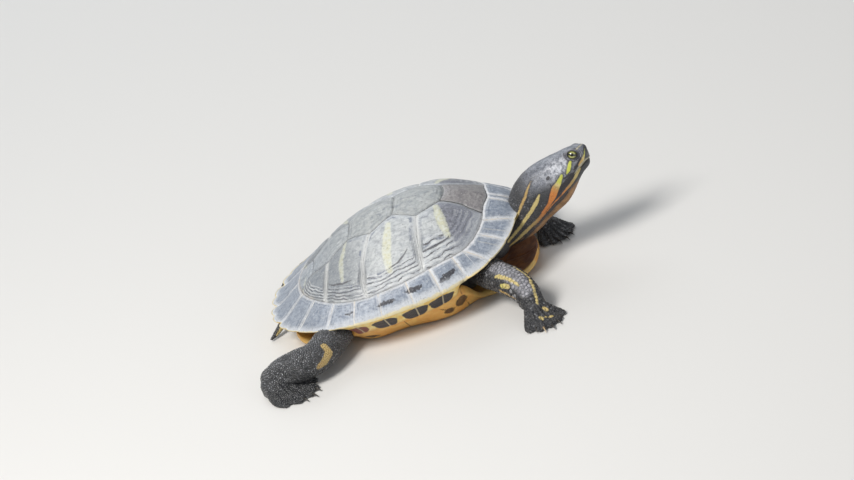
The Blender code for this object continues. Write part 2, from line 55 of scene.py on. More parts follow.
outside = -50.0  # mm, far from any mark
bpy.context.scene.view_settings.view_transform = "Standard"


def makeActive(obj):
    if bpy.context.mode != "OBJECT":
        bpy.ops.object.mode_set(mode="OBJECT")
    bpy.ops.object.select_all(action="DESELECT")
    obj.select_set(True)
    bpy.context.view_layer.objects.active = obj


def applyModifier(obj, kind, **settings):
    makeActive(obj)
    modifier = obj.modifiers.new(kind.title(), kind)
    for name, value in settings.items():
        setattr(modifier, name, value)
    bpy.ops.object.modifier_apply(modifier=modifier.name)


def edited(obj, **operations):
    # mesh operations in edit mode, each named with its settings
    makeActive(obj)
    bpy.ops.object.mode_set(mode="EDIT")
    for name, settings in operations.items():
        getattr(bpy.ops.mesh, name)(**settings)
    bpy.ops.object.mode_set(mode="OBJECT")


def outward(obj):
    edited(obj, select_all={"action": "SELECT"}, normals_make_consistent={"inside": False})


def linked(obj):
    bpy.context.scene.collection.objects.link(obj)
    return obj


def newPiece(name, points, faces):
    # a smooth closed mesh with its faces turned outward
    mesh = bpy.data.meshes.new(name)
    mesh.from_pydata((np.asarray(points, float) * mm).tolist(), [], faces)
    mesh.update()
    obj = linked(bpy.data.objects.new(name, mesh))
    mesh.shade_smooth()
    outward(obj)
    return obj


def nodeCopy(name):
    # a merged copy of a CAD node's mesh
    made = linked(bpy.data.objects.new("copy_" + name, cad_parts[name].data.copy()))
    edited(made, select_all={"action": "SELECT"}, remove_doubles={"threshold": 0.02 * mm})
    return made


def rowsOf(items, word):
    found = np.empty(len(items) * 3, np.float32)
    items.foreach_get(word, found)
    return found.reshape(-1, 3).astype(float)


def getPoints(obj):
    return rowsOf(obj.data.vertices, "co") / mm


def getNormals(obj):
    return rowsOf(obj.data.vertices, "normal")


def faceCentres(obj):
    return rowsOf(obj.data.polygons, "center") / mm


def setPoints(obj, points):
    obj.data.vertices.foreach_set("co", (np.asarray(points) * mm).astype(np.float32).ravel())
    obj.data.update()


def setFields(obj, **fields):
    # one number for each point, read by the materials
    for name, values in fields.items():
        made = obj.data.attributes.get(name) or obj.data.attributes.new(name, "FLOAT", "POINT")
        made.data.foreach_set("value", np.asarray(values, np.float32))


def weigh(obj, name, weights):
    group = obj.vertex_groups.new(name=name)
    for index in np.nonzero(weights > 0.01)[0]:
        group.add([int(index)], float(weights[index]), "REPLACE")


def triangleCount(obj):
    return sum(len(face.vertices) - 2 for face in obj.data.polygons)


def keepInside(obj):
    # ease the last few millimetres in, so nothing reaches past the CAD box
    points, room, band = getPoints(obj), 0.03, 2.5
    for axis in range(3):
        for sign, corner in ((-1, 0), (1, 1)):
            limit = cadBounds[corner][axis] / mm * sign - room
            far = points[:, axis] * sign
            top = far.max()
            if top > limit:
                start = limit - band
                eased = start + (far - start) * band / (top - start)
                points[:, axis] = np.where(far > start, eased, far) * sign
    setPoints(obj, points)


def addPiece(obj, material, slot, *nodes):
    # the piece wears its material, rides on the body and stands for its CAD nodes
    obj.data.materials.clear()
    obj.data.materials.append(material)
    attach(obj, "root")
    if nodes:
        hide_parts(*nodes)


def unit(rows):
    return rows / np.linalg.norm(rows, axis=-1, keepdims=True)


def folded(points):
    # the same places with the right side turned over onto the left
    return points * (1, 0, 1) + np.abs(points) * (0, 1, 0)


def smoothTable(knots, x):
    # a smooth curve through (x, value) pairs, level beyond its ends
    xs, ys = np.array(knots, float).T
    slopes = np.gradient(ys, xs)
    x = np.clip(np.asarray(x, float), xs[0], xs[-1])
    i = np.clip(np.searchsorted(xs, x) - 1, 0, len(xs) - 2)
    width = xs[i + 1] - xs[i]
    t = (x - xs[i]) / width
    return ((2 * t**3 - 3 * t**2 + 1) * ys[i] + (t**3 - 2 * t**2 + t) * width * slopes[i]
            + (3 * t**2 - 2 * t**3) * ys[i + 1] + (t**3 - t**2) * width * slopes[i + 1])


def column(table, j):
    return [(row[0], row[j]) for row in table]


def fade(low, high, x):
    t = np.clip((np.asarray(x, float) - low) / (high - low), 0, 1)
    return t * t * (3 - 2 * t)


def bump(centre, width, x):
    return np.exp(-(((np.asarray(x, float) - centre) / width) ** 2))


def softNoise(points, size, seed=0):
    # smooth noise from a few crossed waves, about -1 to 1
    rng = np.random.default_rng(seed)
    total = np.zeros(len(points))
    for _ in range(7):
        direction = unit(rng.normal(size=3))
        total += np.sin(points @ direction * (fullTurn / size) * rng.uniform(0.6, 1.5)
                        + rng.uniform(0, 6.28))
    return total / 3.5


def runLength(path):
    # share of the whole length at each place of a path
    run = np.concatenate([[0], np.cumsum(np.linalg.norm(np.diff(path, axis=0), axis=1))])
    return run / run[-1]


def pathDistance(points, path):
    # distance in mm from each point to a line through the places of path, and how far along it, 0 to 1
    path = np.asarray(path, float)
    best = np.full(len(points), 1e9)
    along = np.zeros(len(points))
    lengths = np.linalg.norm(np.diff(path, axis=0), axis=1)
    starts = np.concatenate([[0], np.cumsum(lengths)])
    for k in range(len(path) - 1):
        leg = path[k + 1] - path[k]
        t = np.clip((points - path[k]) @ leg / max(leg @ leg, 1e-9), 0, 1)
        away = np.linalg.norm(points - path[k] - t[:, None] * leg, axis=1)
        closer = away < best
        best = np.where(closer, away, best)
        along = np.where(closer, (starts[k] + t * lengths[k]) / starts[-1], along)
    return best, along


def awayFrom(points, path):
    return pathDistance(points, path)[0]


def circle(sides):
    turn = np.linspace(0, fullTurn, sides, endpoint=False)
    return np.cos(turn), np.sin(turn)


def bridgeRows(counts):
    # faces between rows of points that go round, each equal to the last or twice or half as many
    faces, starts = [], np.concatenate([[0], np.cumsum(counts)]).tolist()
    for n, m, a, b in zip(counts[:-1], counts[1:], starts, starts[1:]):
        if n == 1:
            faces += [(a, b + k, b + (k + 1) % m) for k in range(m)]
        elif m == 1:
            faces += [(a + (k + 1) % n, a + k, b) for k in range(n)]
        elif m == n:
            faces += [(a + k, b + k, b + (k + 1) % n, a + (k + 1) % n) for k in range(n)]
        elif m == 2 * n:
            for k in range(n):
                p, q = a + k, a + (k + 1) % n
                u, v, w = b + 2 * k, b + 2 * k + 1, b + (2 * k + 2) % m
                faces += [(p, u, v), (p, v, q), (q, v, w)]
        else:
            for k in range(m):
                p, q = b + k, b + (k + 1) % m
                u, v, w = a + 2 * k, a + 2 * k + 1, a + (2 * k + 2) % n
                faces += [(u, p, v), (v, p, q), (v, q, w)]
    return faces


def closeLoft(rings, firstPole, lastPole):
    # closed surface over rings of equal length with a point at each end
    sides = len(rings[0])
    around = [(k, (k + 1) % sides) for k in range(sides)]
    faces = [(0, 1 + n, 1 + k) for k, n in around]
    for start in range(1, 1 + (len(rings) - 1) * sides, sides):
        faces += [(start + k, start + n, start + sides + n, start + sides + k) for k, n in around]
    last = 1 + len(rings) * sides
    faces += [(last, last - sides + k, last - sides + n) for k, n in around]
    return np.vstack([[firstPole], *rings, [lastPole]]), faces


cameraPlan = {"elevation": 26.74, "azimuth": 11.76, "roll": 21.54, "lens": 400.0, "sensor": 36,
              "frameWide": 687.3792659369,
              "originRight": 12.51, "originUp": 44.01, "clip": (0.1, 200)}
e, a, r = (math.radians(cameraPlan[k]) for k in ("elevation", "azimuth", "roll"))
back = Vector((math.sin(a) * math.cos(e), -math.cos(a) * math.cos(e), math.sin(e)))
levelRight = Vector((math.cos(a), math.sin(a), 0))
levelUp = back.cross(levelRight)
right = levelRight * math.cos(r) - levelUp * math.sin(r)
up = levelRight * math.sin(r) + levelUp * math.cos(r)
distance = cameraPlan["frameWide"] * cameraPlan["lens"] / cameraPlan["sensor"]
place = back * distance + right * cameraPlan["originRight"] + up * cameraPlan["originUp"]
bpy.ops.object.camera_add(location=place * mm)
camera = bpy.context.object
camera.rotation_euler = Matrix((right, up, back)).transposed().to_euler()
camera.data.lens = cameraPlan["lens"]
camera.data.sensor_width = cameraPlan["sensor"]
camera.data.clip_start, camera.data.clip_end = cameraPlan["clip"]
bpy.context.scene.camera = camera

lightPlan = {
    "key": {"place": (-0.75, -0.9, 1.75), "size": 0.8, "power": 40, "colour": (1.0, 0.975, 0.94)},
    "fill": {"place": (1.7, -1.7, 0.9), "size": 1.6, "power": 9, "colour": (0.93, 0.96, 1.0)},
    "back": {"place": (-0.5, 1.9, 1.3), "size": 1.5, "power": 16, "colour": (0.9, 0.95, 1.0)},
}
airPlan = {"colour": (0.86, 0.9, 0.95, 1), "strength": 0.3}
floorPlan = {"size": 60, "colour": (0.72, 0.71, 0.69, 1), "roughness": 0.8}
for name, plan in lightPlan.items():
    bpy.ops.object.light_add(type="AREA", location=plan["place"])
    light = bpy.context.object
    light.name = name + "Light"
    light.data.size = plan["size"]
    light.data.energy = plan["power"]
    light.data.color = plan["colour"]
    light.rotation_euler = (-Vector(plan["place"])).to_track_quat("-Z", "Y").to_euler()
world = bpy.data.worlds.new("studioAir")
bpy.context.scene.world = world
world.use_nodes = True
world.node_tree.nodes["Background"].inputs["Color"].default_value = airPlan["colour"]
world.node_tree.nodes["Background"].inputs["Strength"].default_value = airPlan["strength"]
bpy.ops.mesh.primitive_plane_add(size=floorPlan["size"])
floor = bpy.context.object
floor.name = "floor"
floorPaint = bpy.data.materials.new("paleFloor")
floorPaint.use_nodes = True
floorShader = floorPaint.node_tree.nodes["Principled BSDF"]
floorShader.inputs["Base Color"].default_value = floorPlan["colour"]
floorShader.inputs["Roughness"].default_value = floorPlan["roughness"]
floor.data.materials.append(floorPaint)
print("camera, floor and lights are set")


# one number all over a surface; masks are sums and products of these
class Channel:
    def __init__(self, paint, socket):
        self.paint = paint
        self.socket = socket

    def __add__(self, other):
        return self.paint.maths("ADD", self, other)

    def __mul__(self, other):
        return self.paint.maths("MULTIPLY", self, other)

    def __sub__(self, other):
        return self.paint.maths("SUBTRACT", self, other)

    def __rsub__(self, other):
        return self.paint.maths("SUBTRACT", other, self)

    def __abs__(self):
        return self.paint.maths("ABSOLUTE", self)

    __radd__, __rmul__ = __add__, __mul__

    def least(self, other):
        return self.paint.maths("MINIMUM", self, other)

    def most(self, other):
        return self.paint.maths("MAXIMUM", self, other)

    def wave(self):
        return self.paint.maths("SINE", self)

    def step(self, low, high):
        # 0 below low, 1 above high, smooth between; turned round if low is the larger
        turned = low > high
        span = {"From Min": min(low, high), "From Max": max(low, high), "To Min": float(turned),
                "To Max": float(not turned)}
        return self.paint.node("MapRange", "Result", {"interpolation_type": "SMOOTHSTEP"},
                               {"Value": self, **span})


# a material is built from a base and layers laid over it, with the colours of its own table
class Paint:
    def __init__(self, name, colours, roughness=0.6, specular=0.4, coat=0.0, coatRoughness=0.2):
        self.material = bpy.data.materials.new(name)
        self.material.use_nodes = True
        self.tree = self.material.node_tree
        self.shader = self.tree.nodes["Principled BSDF"]
        for socket, value in (("Roughness", roughness), ("Specular IOR Level", specular),
                              ("Coat Weight", coat), ("Coat Roughness", coatRoughness)):
            self.shader.inputs[socket].default_value = value
        self.place = self.tree.nodes.new("ShaderNodeTexCoord").outputs["Object"]
        self.colours = colours
        self.colour = None
        self.height = None
        self.rough = None

    def link(self, source, socket):
        if isinstance(source, Channel):
            self.tree.links.new(source.socket, socket)
        elif isinstance(source, (int, float)):
            socket.default_value = source
        elif isinstance(source, tuple):
            socket.default_value = (*source, 1) if len(source) == 3 and socket.type == "RGBA" else source
        else:
            self.tree.links.new(source, socket)

    def node(self, kind, output, settings, sockets):
        made = self.tree.nodes.new("ShaderNode" + kind)
        for name, value in settings.items():
            setattr(made, name, value)
        for name, source in sockets.items():
            self.link(source, made.inputs[name])
        return Channel(self, made.outputs[output])

    def maths(self, operation, first, second=0.0):
        return self.node("Math", 0, {"operation": operation}, {0: first, 1: second})

    def fields(self, *names):
        return [self.node("Attribute", "Fac", {"attribute_name": name}, {}) for name in names]

    def noise(self, size, detail=3.0, rough=0.55, stretch=None):
        # size is the width of the blotches in mm
        place = self.place
        if stretch:
            place = self.node("Mapping", "Vector", {}, {"Scale": stretch, "Vector": place})
        return self.node("TexNoise", "Fac", {},
                         {"Scale": 1 / (size * mm), "Detail": detail, "Roughness": rough, "Vector": place})

    def cells(self, size):
        return self.node("TexVoronoi", "Distance", {}, {"Scale": 1 / (size * mm), "Vector": self.place})

    def along(self, axis):
        return self.node("SeparateXYZ", axis, {}, {0: self.place})

    def pick(self, colour):
        # a colour of the table, or two laid in soft patches with their width, step and detail
        if isinstance(colour, str):
            colour = self.colours[colour]
        patchy = isinstance(colour, tuple) and isinstance(colour[0], tuple)
        return self.blot(*colour) if patchy else colour

    def blot(self, first, second, size, low=0.4, high=0.6, detail=3.0):
        return self.mix(self.noise(size, detail).step(low, high), first, second)

    def mix(self, share, first, second):
        sockets = {"Factor": share, "A": self.pick(first), "B": self.pick(second)}
        return self.node("Mix", "Result", {"data_type": "RGBA"}, sockets)

    def over(self, share, colour):
        self.colour = self.mix(share, self.colour, colour)

    def raiseBy(self, *heights):
        # heights in mm
        for height in heights:
            self.height = height if self.height is None else self.height + height

    def finish(self):
        self.link(self.colour, self.shader.inputs["Base Color"])
        if self.rough:
            self.link(self.rough, self.shader.inputs["Roughness"])
        if self.height:
            bumps = {"Strength": 1.0, "Distance": mm, "Height": self.height}
            self.link(self.node("Bump", "Normal", {}, bumps), self.shader.inputs["Normal"])
        return self.material


headPlan = {
    "beakTip": (176.8, -4, 76.6), "pitch": 20, "yaw": -2, "roll": -14,
    # distance back from the beak, half width, crown, chin
    "sections": [(-0.2, 3.4, 10.0, 0.3), (1.0, 5.2, 11.3, 3.0), (3.0, 6.9, 12.6, 4.8), (6, 9.0, 14.2, 6.0),
                 (10, 11.0, 15.8, 7.2), (15, 13.0, 17.0, 9.2), (21, 14.8, 18.0, 12.6),
                 (28, 16.2, 19.0, 16.8), (35, 16.9, 20.2, 20.2), (42, 16.8, 21.4, 21.6)],
    "eyeBack": 7.6, "eyeOut": 6.1, "eyeUp": 9.9, "eyeRadius": 4.7, "snoutLean": 0.3, "snoutLength": 24,
    "length": 38, "rings": 60, "neckRings": 44, "sides": 96,
}
headTurn = np.array(Matrix.Rotation(math.radians(headPlan["yaw"]), 3, "Z")
                    @ Matrix.Rotation(math.radians(-headPlan["pitch"]), 3, "Y")
                    @ Matrix.Rotation(math.radians(headPlan["roll"]), 3, "X"))
eyeCentre = np.array((-headPlan["eyeBack"], headPlan["eyeOut"], headPlan["eyeUp"]))
eyeRadius = headPlan["eyeRadius"]


def fromHead(local):
    return np.asarray(local, float) @ headTurn.T + headPlan["beakTip"]


def toHead(points):
    return (np.asarray(points, float) - headPlan["beakTip"]) @ headTurn


def headRing(distanceBack, sides):
    # a section across the head whose top leans forward at the snout
    table = headPlan["sections"]
    width, crown, chin = (float(smoothTable(column(table, j), distanceBack)) for j in (1, 2, 3))
    lean = headPlan["snoutLean"] * (1 - float(fade(0, headPlan["snoutLength"], distanceBack)))
    middle = 0.28 * crown - 0.2 * chin
    cosine, sine = circle(sides)
    y = width * np.sign(cosine) * np.abs(cosine) ** 0.86
    z = middle + np.where(sine > 0, crown - middle, chin + middle) * np.sign(sine) * np.abs(sine) ** 0.9
    # temples narrow above the cheeks, flat roof between the eyes, full jaw muscles
    above = np.clip(sine, 0, 1)
    pinch, full = (float(bump(centre, 8, distanceBack)) for centre in (17, 33))
    y = y * (1 - 0.10 * pinch * above) * (1 + 0.05 * full * (1 - above))
    x = -distanceBack + lean * np.maximum(0, z)
    return fromHead(np.stack([x, y, z], 1)), fromHead([[-distanceBack + lean * middle, 0, middle]])[0]


skinPlan = {
    "voxel": 1.15, "legSides": 24, "legRings": 36, "coatDepth": 0.35, "neckAbove": 26, "neckWithin": 40,
    # stations down each limb: place, half width, half height
    "neck": [((68, 0, 32), 20, 14), ((90, 0, 34), 20, 14), ((109, -1, 39.5), 19, 15.5),
             ((119.5, -2, 50), 18.2, 19.5), ((130, -3, 58.5), 17.6, 21.6), ((143, -4, 65), 17, 21.5)],
    "foreRight": [((64, -34, 25), 14, 11.5), ((81, -55, 24.5), 13, 11.5), ((97, -75, 24), 12, 12),
                  ((105, -85, 18.5), 11, 11), ((109, -93, 12.5), 9.5, 8.5), ((111, -98, 8.5), 8.5, 6.2)],
    "foreLeft": [((64, 34, 25), 14, 11.5), ((81, 50, 25), 13, 11.5), ((96, 58, 23), 12, 12),
                 ((105, 53, 17), 11, 10.5), ((111, 45, 11.5), 9.5, 8.5), ((114, 40, 8.5), 8.5, 6.2)],
    "hindRight": [((-52, -34, 20), 16, 12), ((-57, -62, 17.5), 15.5, 12.5), ((-70, -90, 17.5), 14, 12.5),
                  ((-85, -97, 17.5), 14.5, 13), ((-103, -94, 13), 13.5, 12), ((-112, -92, 8), 11, 8.5)],
    "hindLeft": [((-50, 28, 19), 15, 11), ((-54, 48, 16), 14, 11.5), ((-63, 61, 16), 12.5, 11),
                 ((-77, 61, 15.4), 13, 11.3), ((-92, 56, 11.5), 12.5, 10), ((-100, 53, 7.5), 10.5, 8)],
    "tail": [((-70, 0, 18), 8, 7), ((-90, 0, 16), 5.5, 5.2), ((-103, -1, 11), 3.9, 3.9),
             ((-112, -6, 5), 3, 3), ((-119, -12, 1.8), 1.8, 1.6)],
    # loose skin where the limbs leave the shell, and the fullness of elbows and knees: place, size, turn
    "folds": [((78, -50, 24), (17, 13, 12), -45), ((97, -75, 23), (12, 11, 11), 0),
              ((78, 47, 24), (17, 12, 12), 45), ((-56, -58, 17), (16, 20, 11), 0),
              ((-70, -90, 17), (14, 13, 12), 0), ((-56, 46, 16), (14, 16, 10), 0),
              ((107, -88, 11), (10, 9, 8), 0), ((112, 46, 11), (9, 9, 8), 0),
              ((-110, -91, 10), (11, 11, 9), 0), ((-100, 53, 9), (10, 9, 8), 0),
              ((80, -6, 31), (16, 24, 15), 0), ((-76, 0, 17), (10, 16, 9), 0)],
    "thinned": 0.03,
}
footPlan = {
    # heel, heading and spread in degrees, length
    "handRight": {"node": "hand_right", "heel": (107, -92), "heading": -63, "length": 35, "spread": 56,
                  "claws": 5},
    "handLeft": {"node": "hand_left", "heel": (113, 41), "heading": -52, "length": 31, "spread": 56,
                 "claws": 5},
    "footRight": {"node": "foot_right", "heel": (-118, -89), "heading": -40, "length": 53, "spread": 42,
                  "claws": 4},
    "footLeft": {"node": "foot_left", "heel": (-105, 51), "heading": 33, "length": 52, "spread": 42,
                 "claws": 4},
}
digits = 5


def alongStations(stations, share):
    at = np.asarray(share, float) * (len(stations) - 1)
    steps = range(len(stations))
    point = np.stack([smoothTable([(i, stations[i][0][axis]) for i in steps], at) for axis in range(3)], -1)
    across, upward = (smoothTable([(i, stations[i][j]) for i in steps], at) for j in (1, 2))
    return point, across, upward


def tubeRings(stations, start, end, rings, sides, thinner=0.0, leftFirst=False):
    shares = np.linspace(start, end, rings)
    centre, across, upward = alongStations(stations, shares)
    step = 0.01
    ahead = unit(alongStations(stations, np.minimum(1, shares + step))[0]
                 - alongStations(stations, np.maximum(0, shares - step))[0])
    side = unit(np.cross(ahead, (0, 0, 1)))
    top = np.cross(side, ahead)
    if leftFirst:
        side = -side
    cosine, sine = circle(sides)
    made = []
    for k in range(rings):
        ring = (centre[k] + np.outer(cosine, side[k]) * (across[k] - thinner)
                + np.outer(sine, top[k]) * (upward[k] - thinner))
        ring[:, 2] = np.maximum(ring[:, 2], 0.3)
        made.append(ring)
    return made, centre


def digitRay(plan, number):
    # centreline on the floor plan of one digit, counted from the inner side
    turn = (1 if plan["heel"][1] < 0 else -1) * (1 - (2 * number + 1) / digits)
    heading = math.radians(plan["heading"] + plan["spread"] / 2 * turn)
    length = plan["length"] * (1 - 0.34 * turn * turn)
    return np.array(plan["heel"]), np.array((math.cos(heading), math.sin(heading))), length


def headAndNeck():
    sides = headPlan["sides"]
    backs = headPlan["length"] * np.linspace(0, 1, headPlan["rings"]) ** 1.25
    rings = [headRing(b, sides)[0] for b in backs]
    front = headRing(0, sides)[1] * 0.2 + fromHead([[2.6, 0, 5.5]])[0] * 0.8
    neckRings, neckCentre = tubeRings(skinPlan["neck"], 0.94, 0, headPlan["neckRings"], sides,
                                      leftFirst=True)
    points, faces = closeLoft(rings + neckRings, front, neckCentre[-1])
    made = newPiece("headForm", points, faces)
    # ease the head into the neck
    back = -toHead(points)[:, 0]
    weigh(made, "nape", fade(26, 34, back) * (1 - fade(58, 68, back)))
    applyModifier(made, "SMOOTH", factor=0.6, iterations=40, vertex_group="nape")
    return made


headForm = headAndNeck()


def capsule(start, end, radiusStart, radiusEnd):
    # a rounded finger between two places
    bpy.ops.mesh.primitive_uv_sphere_add(segments=16, ring_count=12, radius=1)
    made = bpy.context.object
    points = getPoints(made) * mm
    axis = unit(np.asarray(end, float) - start)
    side = unit(np.cross(axis, (0, 0, 1)))
    top = np.cross(side, axis)
    far = points[:, 2] > 0
    radius = np.where(far, radiusEnd, radiusStart)
    place = (np.where(far[:, None], end, start) + axis * (points[:, 2] * radius)[:, None]
             + side * (points[:, 0] * radius)[:, None] + top * (points[:, 1] * radius)[:, None])
    place[:, 2] = np.maximum(place[:, 2], 0.2)
    setPoints(made, place)
    return made


def ball(place, size, turn):
    bpy.ops.mesh.primitive_uv_sphere_add(segments=24, ring_count=16, radius=mm, location=Vector(place) * mm)
    made = bpy.context.object
    made.scale = size
    made.rotation_euler.z = math.radians(turn)
    bpy.ops.object.transform_apply(location=True, rotation=True, scale=True)
    points = getPoints(made)
    points[:, 2] = np.maximum(points[:, 2], 0.3)
    setPoints(made, points)
    return made


def fleshLumps():
    lumps = [headForm, nodeCopy("trunk")]
    for limb in ("foreRight", "foreLeft", "hindRight", "hindLeft", "tail"):
        rings, centre = tubeRings(skinPlan[limb], 0, 1, skinPlan["legRings"], skinPlan["legSides"],
                                  skinPlan["coatDepth"])
        lumps.append(newPiece(limb + "Form", *closeLoft(rings, centre[0], centre[-1])))
    for plan in footPlan.values():
        lumps.append(nodeCopy(plan["node"]))
        for number in range(digits):
            heel, ray, length = digitRay(plan, number)
            reach = length * (1.0 if number < plan["claws"] else 0.9) - 2.6
            knuckle, tip = heel + ray * length * 0.45, heel + ray * reach
            middle = (knuckle + tip) / 2
            lumps.append(capsule((*knuckle, 3.6), (*middle, 3.6), 3.1, 3.0))
            lumps.append(capsule((*middle, 3.6), (*tip, 2.5), 2.9, 2.3))
    return lumps + [ball(*fold) for fold in skinPlan["folds"]]


def neckOrHead(points):
    return (points[:, 2] > skinPlan["neckAbove"]) & (np.abs(points[:, 1]) < skinPlan["neckWithin"])


def makeSkin():
    target = linked(headForm.copy())
    lumps = fleshLumps()
    target.data = headForm.data.copy()
    makeActive(headForm)
    for lump in lumps:
        lump.select_set(True)
    bpy.ops.object.join()
    skin = bpy.context.object
    skin.name = "skin"
    applyModifier(skin, "REMESH", mode="VOXEL", voxel_size=skinPlan["voxel"] * mm)
    print("skin remeshed:", len(skin.data.polygons), "faces")
    points = getPoints(skin)
    weigh(skin, "body", 1 - fade(-52, -44, toHead(points)[:, 0]) * neckOrHead(points))
    applyModifier(skin, "SMOOTH", factor=0.5, iterations=7, vertex_group="body")
    # the trunk is out of sight inside the shell, so it is thinned
    edited(skin, select_all={"action": "DESELECT"})
    x, y, z = faceCentres(skin).T
    hidden = ((((x + 2) / 76) ** 2 + (y / 50) ** 2 < 1)
              | ((np.abs(x + 2) < 76) & (np.abs(y) < 64) & (z > 36)))
    skin.data.polygons.foreach_set("select", hidden)
    edited(skin, decimate={"ratio": skinPlan["thinned"]})
    print("skin thinned inside the shell:", len(skin.data.polygons), "faces")
    # finer faces on the head, and again round the eyes
    for eyesOnly in (False, True):
        centres = faceCentres(skin)
        spots = toHead(centres)
        chosen = (spots[:, 0] > -46) & (centres[:, 2] > skinPlan["neckAbove"])
        if eyesOnly:
            chosen = np.linalg.norm(folded(spots) - eyeCentre - (0, 2, 0), axis=1) < 9.5
        skin.data.polygons.foreach_set("select", chosen)
        edited(skin, select_mode={"type": "FACE"}, subdivide={"number_cuts": 1}, quads_convert_to_tris={},
               select_all={"action": "DESELECT"})
    skin.vertex_groups.clear()
    points = getPoints(skin)
    weigh(skin, "head", fade(-66, -56, toHead(points)[:, 0]) * neckOrHead(points))
    applyModifier(skin, "SHRINKWRAP", target=target, wrap_method="NEAREST_SURFACEPOINT",
                  vertex_group="head")
    applyModifier(skin, "SMOOTH", factor=0.4, iterations=3, vertex_group="head")
    skin.vertex_groups.clear()
    skin.data.shade_smooth()
    bpy.data.objects.remove(target)
    print("skin shaped:", len(skin.data.polygons), "faces")
    return skin


skin = makeSkin()


facePlan = {
    # gaze and the long way of the lids, in the head's own directions (forward, left, up)
    "gaze": (0.2, 0.95, 0.16), "lidLong": (0.76, 0.0, -0.65), "openLong": 4.15, "openShort": 3.15,
    "lidThick": 0.5,
    "brow": 0.4, "browSoft": 0.35,
    "mouth": [(-24, -4.8), (-17.6, -4.2), (-13.2, -3.6), (-10.4, -2.7), (-8, -1.8), (-4, -0.7),
              (-1.5, -0.2), (0.5, -0.9), (4, -1.2)],
    "mouthEnd": -14.8, "nostril": (2.3, 1.6, 8.1), "tympanum": (-32.2, 16.0, 7.0),
    "cornerFold": [(-14.2, 11.0, -3.7), (-18.5, 12.9, -4.2), (-24, 14.8, -6.5)],
    "ridge": [(1.5, 3.6, 12.0), (-3.5, 7.0, 14.6), (-9, 8.6, 16.0), (-14, 9.6, 15.8)],
    # the fold where the right shank lies over its foot, in the model's own places
    "shankFold": [(-108, -106.5, 16.5), (-105.3, -106.8, 14.4), (-96.9, -108.7, 9.8), (-85.5, -107.1, 6.1),
                  (-76.1, -100.2, 1.8)],
}
gaze = unit(np.array(facePlan["gaze"], float))
lidLong = np.array(facePlan["lidLong"], float)
lidLong = unit(lidLong - gaze * (lidLong @ gaze))
lidShort = np.cross(gaze, lidLong) * (1 if np.cross(gaze, lidLong)[2] > 0 else -1)


def eyeShares(local):
    # height along the gaze, and how far out in the lid opening, for places with y made positive
    away = local - eyeCentre
    p, q, w = away @ lidLong, away @ lidShort, away @ gaze
    return p, q, w, np.hypot(p / facePlan["openLong"], q / facePlan["openShort"])


def shapeEyes(local):
    # the brow and cheek swell over the ball, which never shows through them
    soft, cover = facePlan["browSoft"], eyeRadius + facePlan["brow"]
    far = np.maximum(np.linalg.norm(local - eyeCentre, axis=1), 0.5)
    swell = soft * np.log1p(np.exp(np.minimum((cover - far) / soft, 40)))
    local = eyeCentre + (local - eyeCentre) * ((far + swell) / far)[:, None]
    p, q, w, out = eyeShares(local)
    near = (w > 0.2) & (out < 3.2)
    # places beside the lid's edge are moved onto it, so it runs smooth
    edge = near & (np.abs(out - 1) < 0.075)
    pull = np.where(edge, 1 / np.maximum(out, 0.1) - 1, 0)
    local = local + (lidLong * p[:, None] + lidShort * q[:, None]) * pull[:, None]
    p, q, w, out = eyeShares(local)
    out = np.where(edge, 1.0, out)
    across = p * p + q * q
    over = np.sqrt(np.maximum((eyeRadius + facePlan["lidThick"]) ** 2 - across, 0.01))
    behind = np.sqrt(np.maximum((eyeRadius - 1.1) ** 2 - across * 0.8, 0.3))
    upperLid = bump(1.15, 0.35, out) * fade(-0.5, 2.0, q) * 0.35
    height = np.where(out < 0.9999, behind, np.maximum(over, w * fade(1.25, 1.7, out)) + upperLid)
    # lids blend into the cheek, with a groove round them and fine creases
    blend = 1 - fade(1.35, 2.1, out)
    height = w * (1 - blend) + height * blend
    height += -0.32 * bump(1.72, 0.17, out) + 0.12 * bump(1.98, 0.14, out) - 0.12 * bump(2.22, 0.12, out)
    height += 0.09 * np.cos((out - 1.1) * fullTurn / 0.2) * fade(1.08, 1.2, out) * (1 - fade(1.5, 1.7, out))
    local = np.where(near[:, None], local + gaze * (height - w)[:, None], local)
    far = np.linalg.norm(local - eyeCentre, axis=1)
    covered = (far < cover) & ((out > 0.9999) | ((local - eyeCentre) @ gaze < 0))
    push = np.where(covered, cover / np.maximum(far, 0.5), 1)
    return eyeCentre + (local - eyeCentre) * push[:, None], (out < 1.6) & near


def shapeMouth(local):
    # a fine groove with the beak's edge lapping over the lower jaw
    end = facePlan["mouthEnd"]
    line = smoothTable(facePlan["mouth"], local[:, 0])
    along = fade(end - 1.2, end + 1.0, local[:, 0])
    offset = local[:, 2] - line
    inward = np.stack([np.full(len(local), -12.0), np.zeros(len(local)), line], 1) - local
    inward[:, 2] *= 0.2
    inward /= np.maximum(np.linalg.norm(inward, axis=1), 0.01)[:, None]
    surface = (np.abs(offset) < 9) & (local[:, 0] > end - 3)
    chin = fade(0.2, -0.5, offset) * (1 - fade(-2.5, -6.5, offset)) * fade(-20, -8, local[:, 0])
    depth = (0.85 * bump(0, 0.42, offset) + 0.5 * chin
             - 0.28 * bump(0.9, 0.55, offset) * fade(-18, -10, local[:, 0]))
    return local + inward * (depth * along * surface)[:, None]


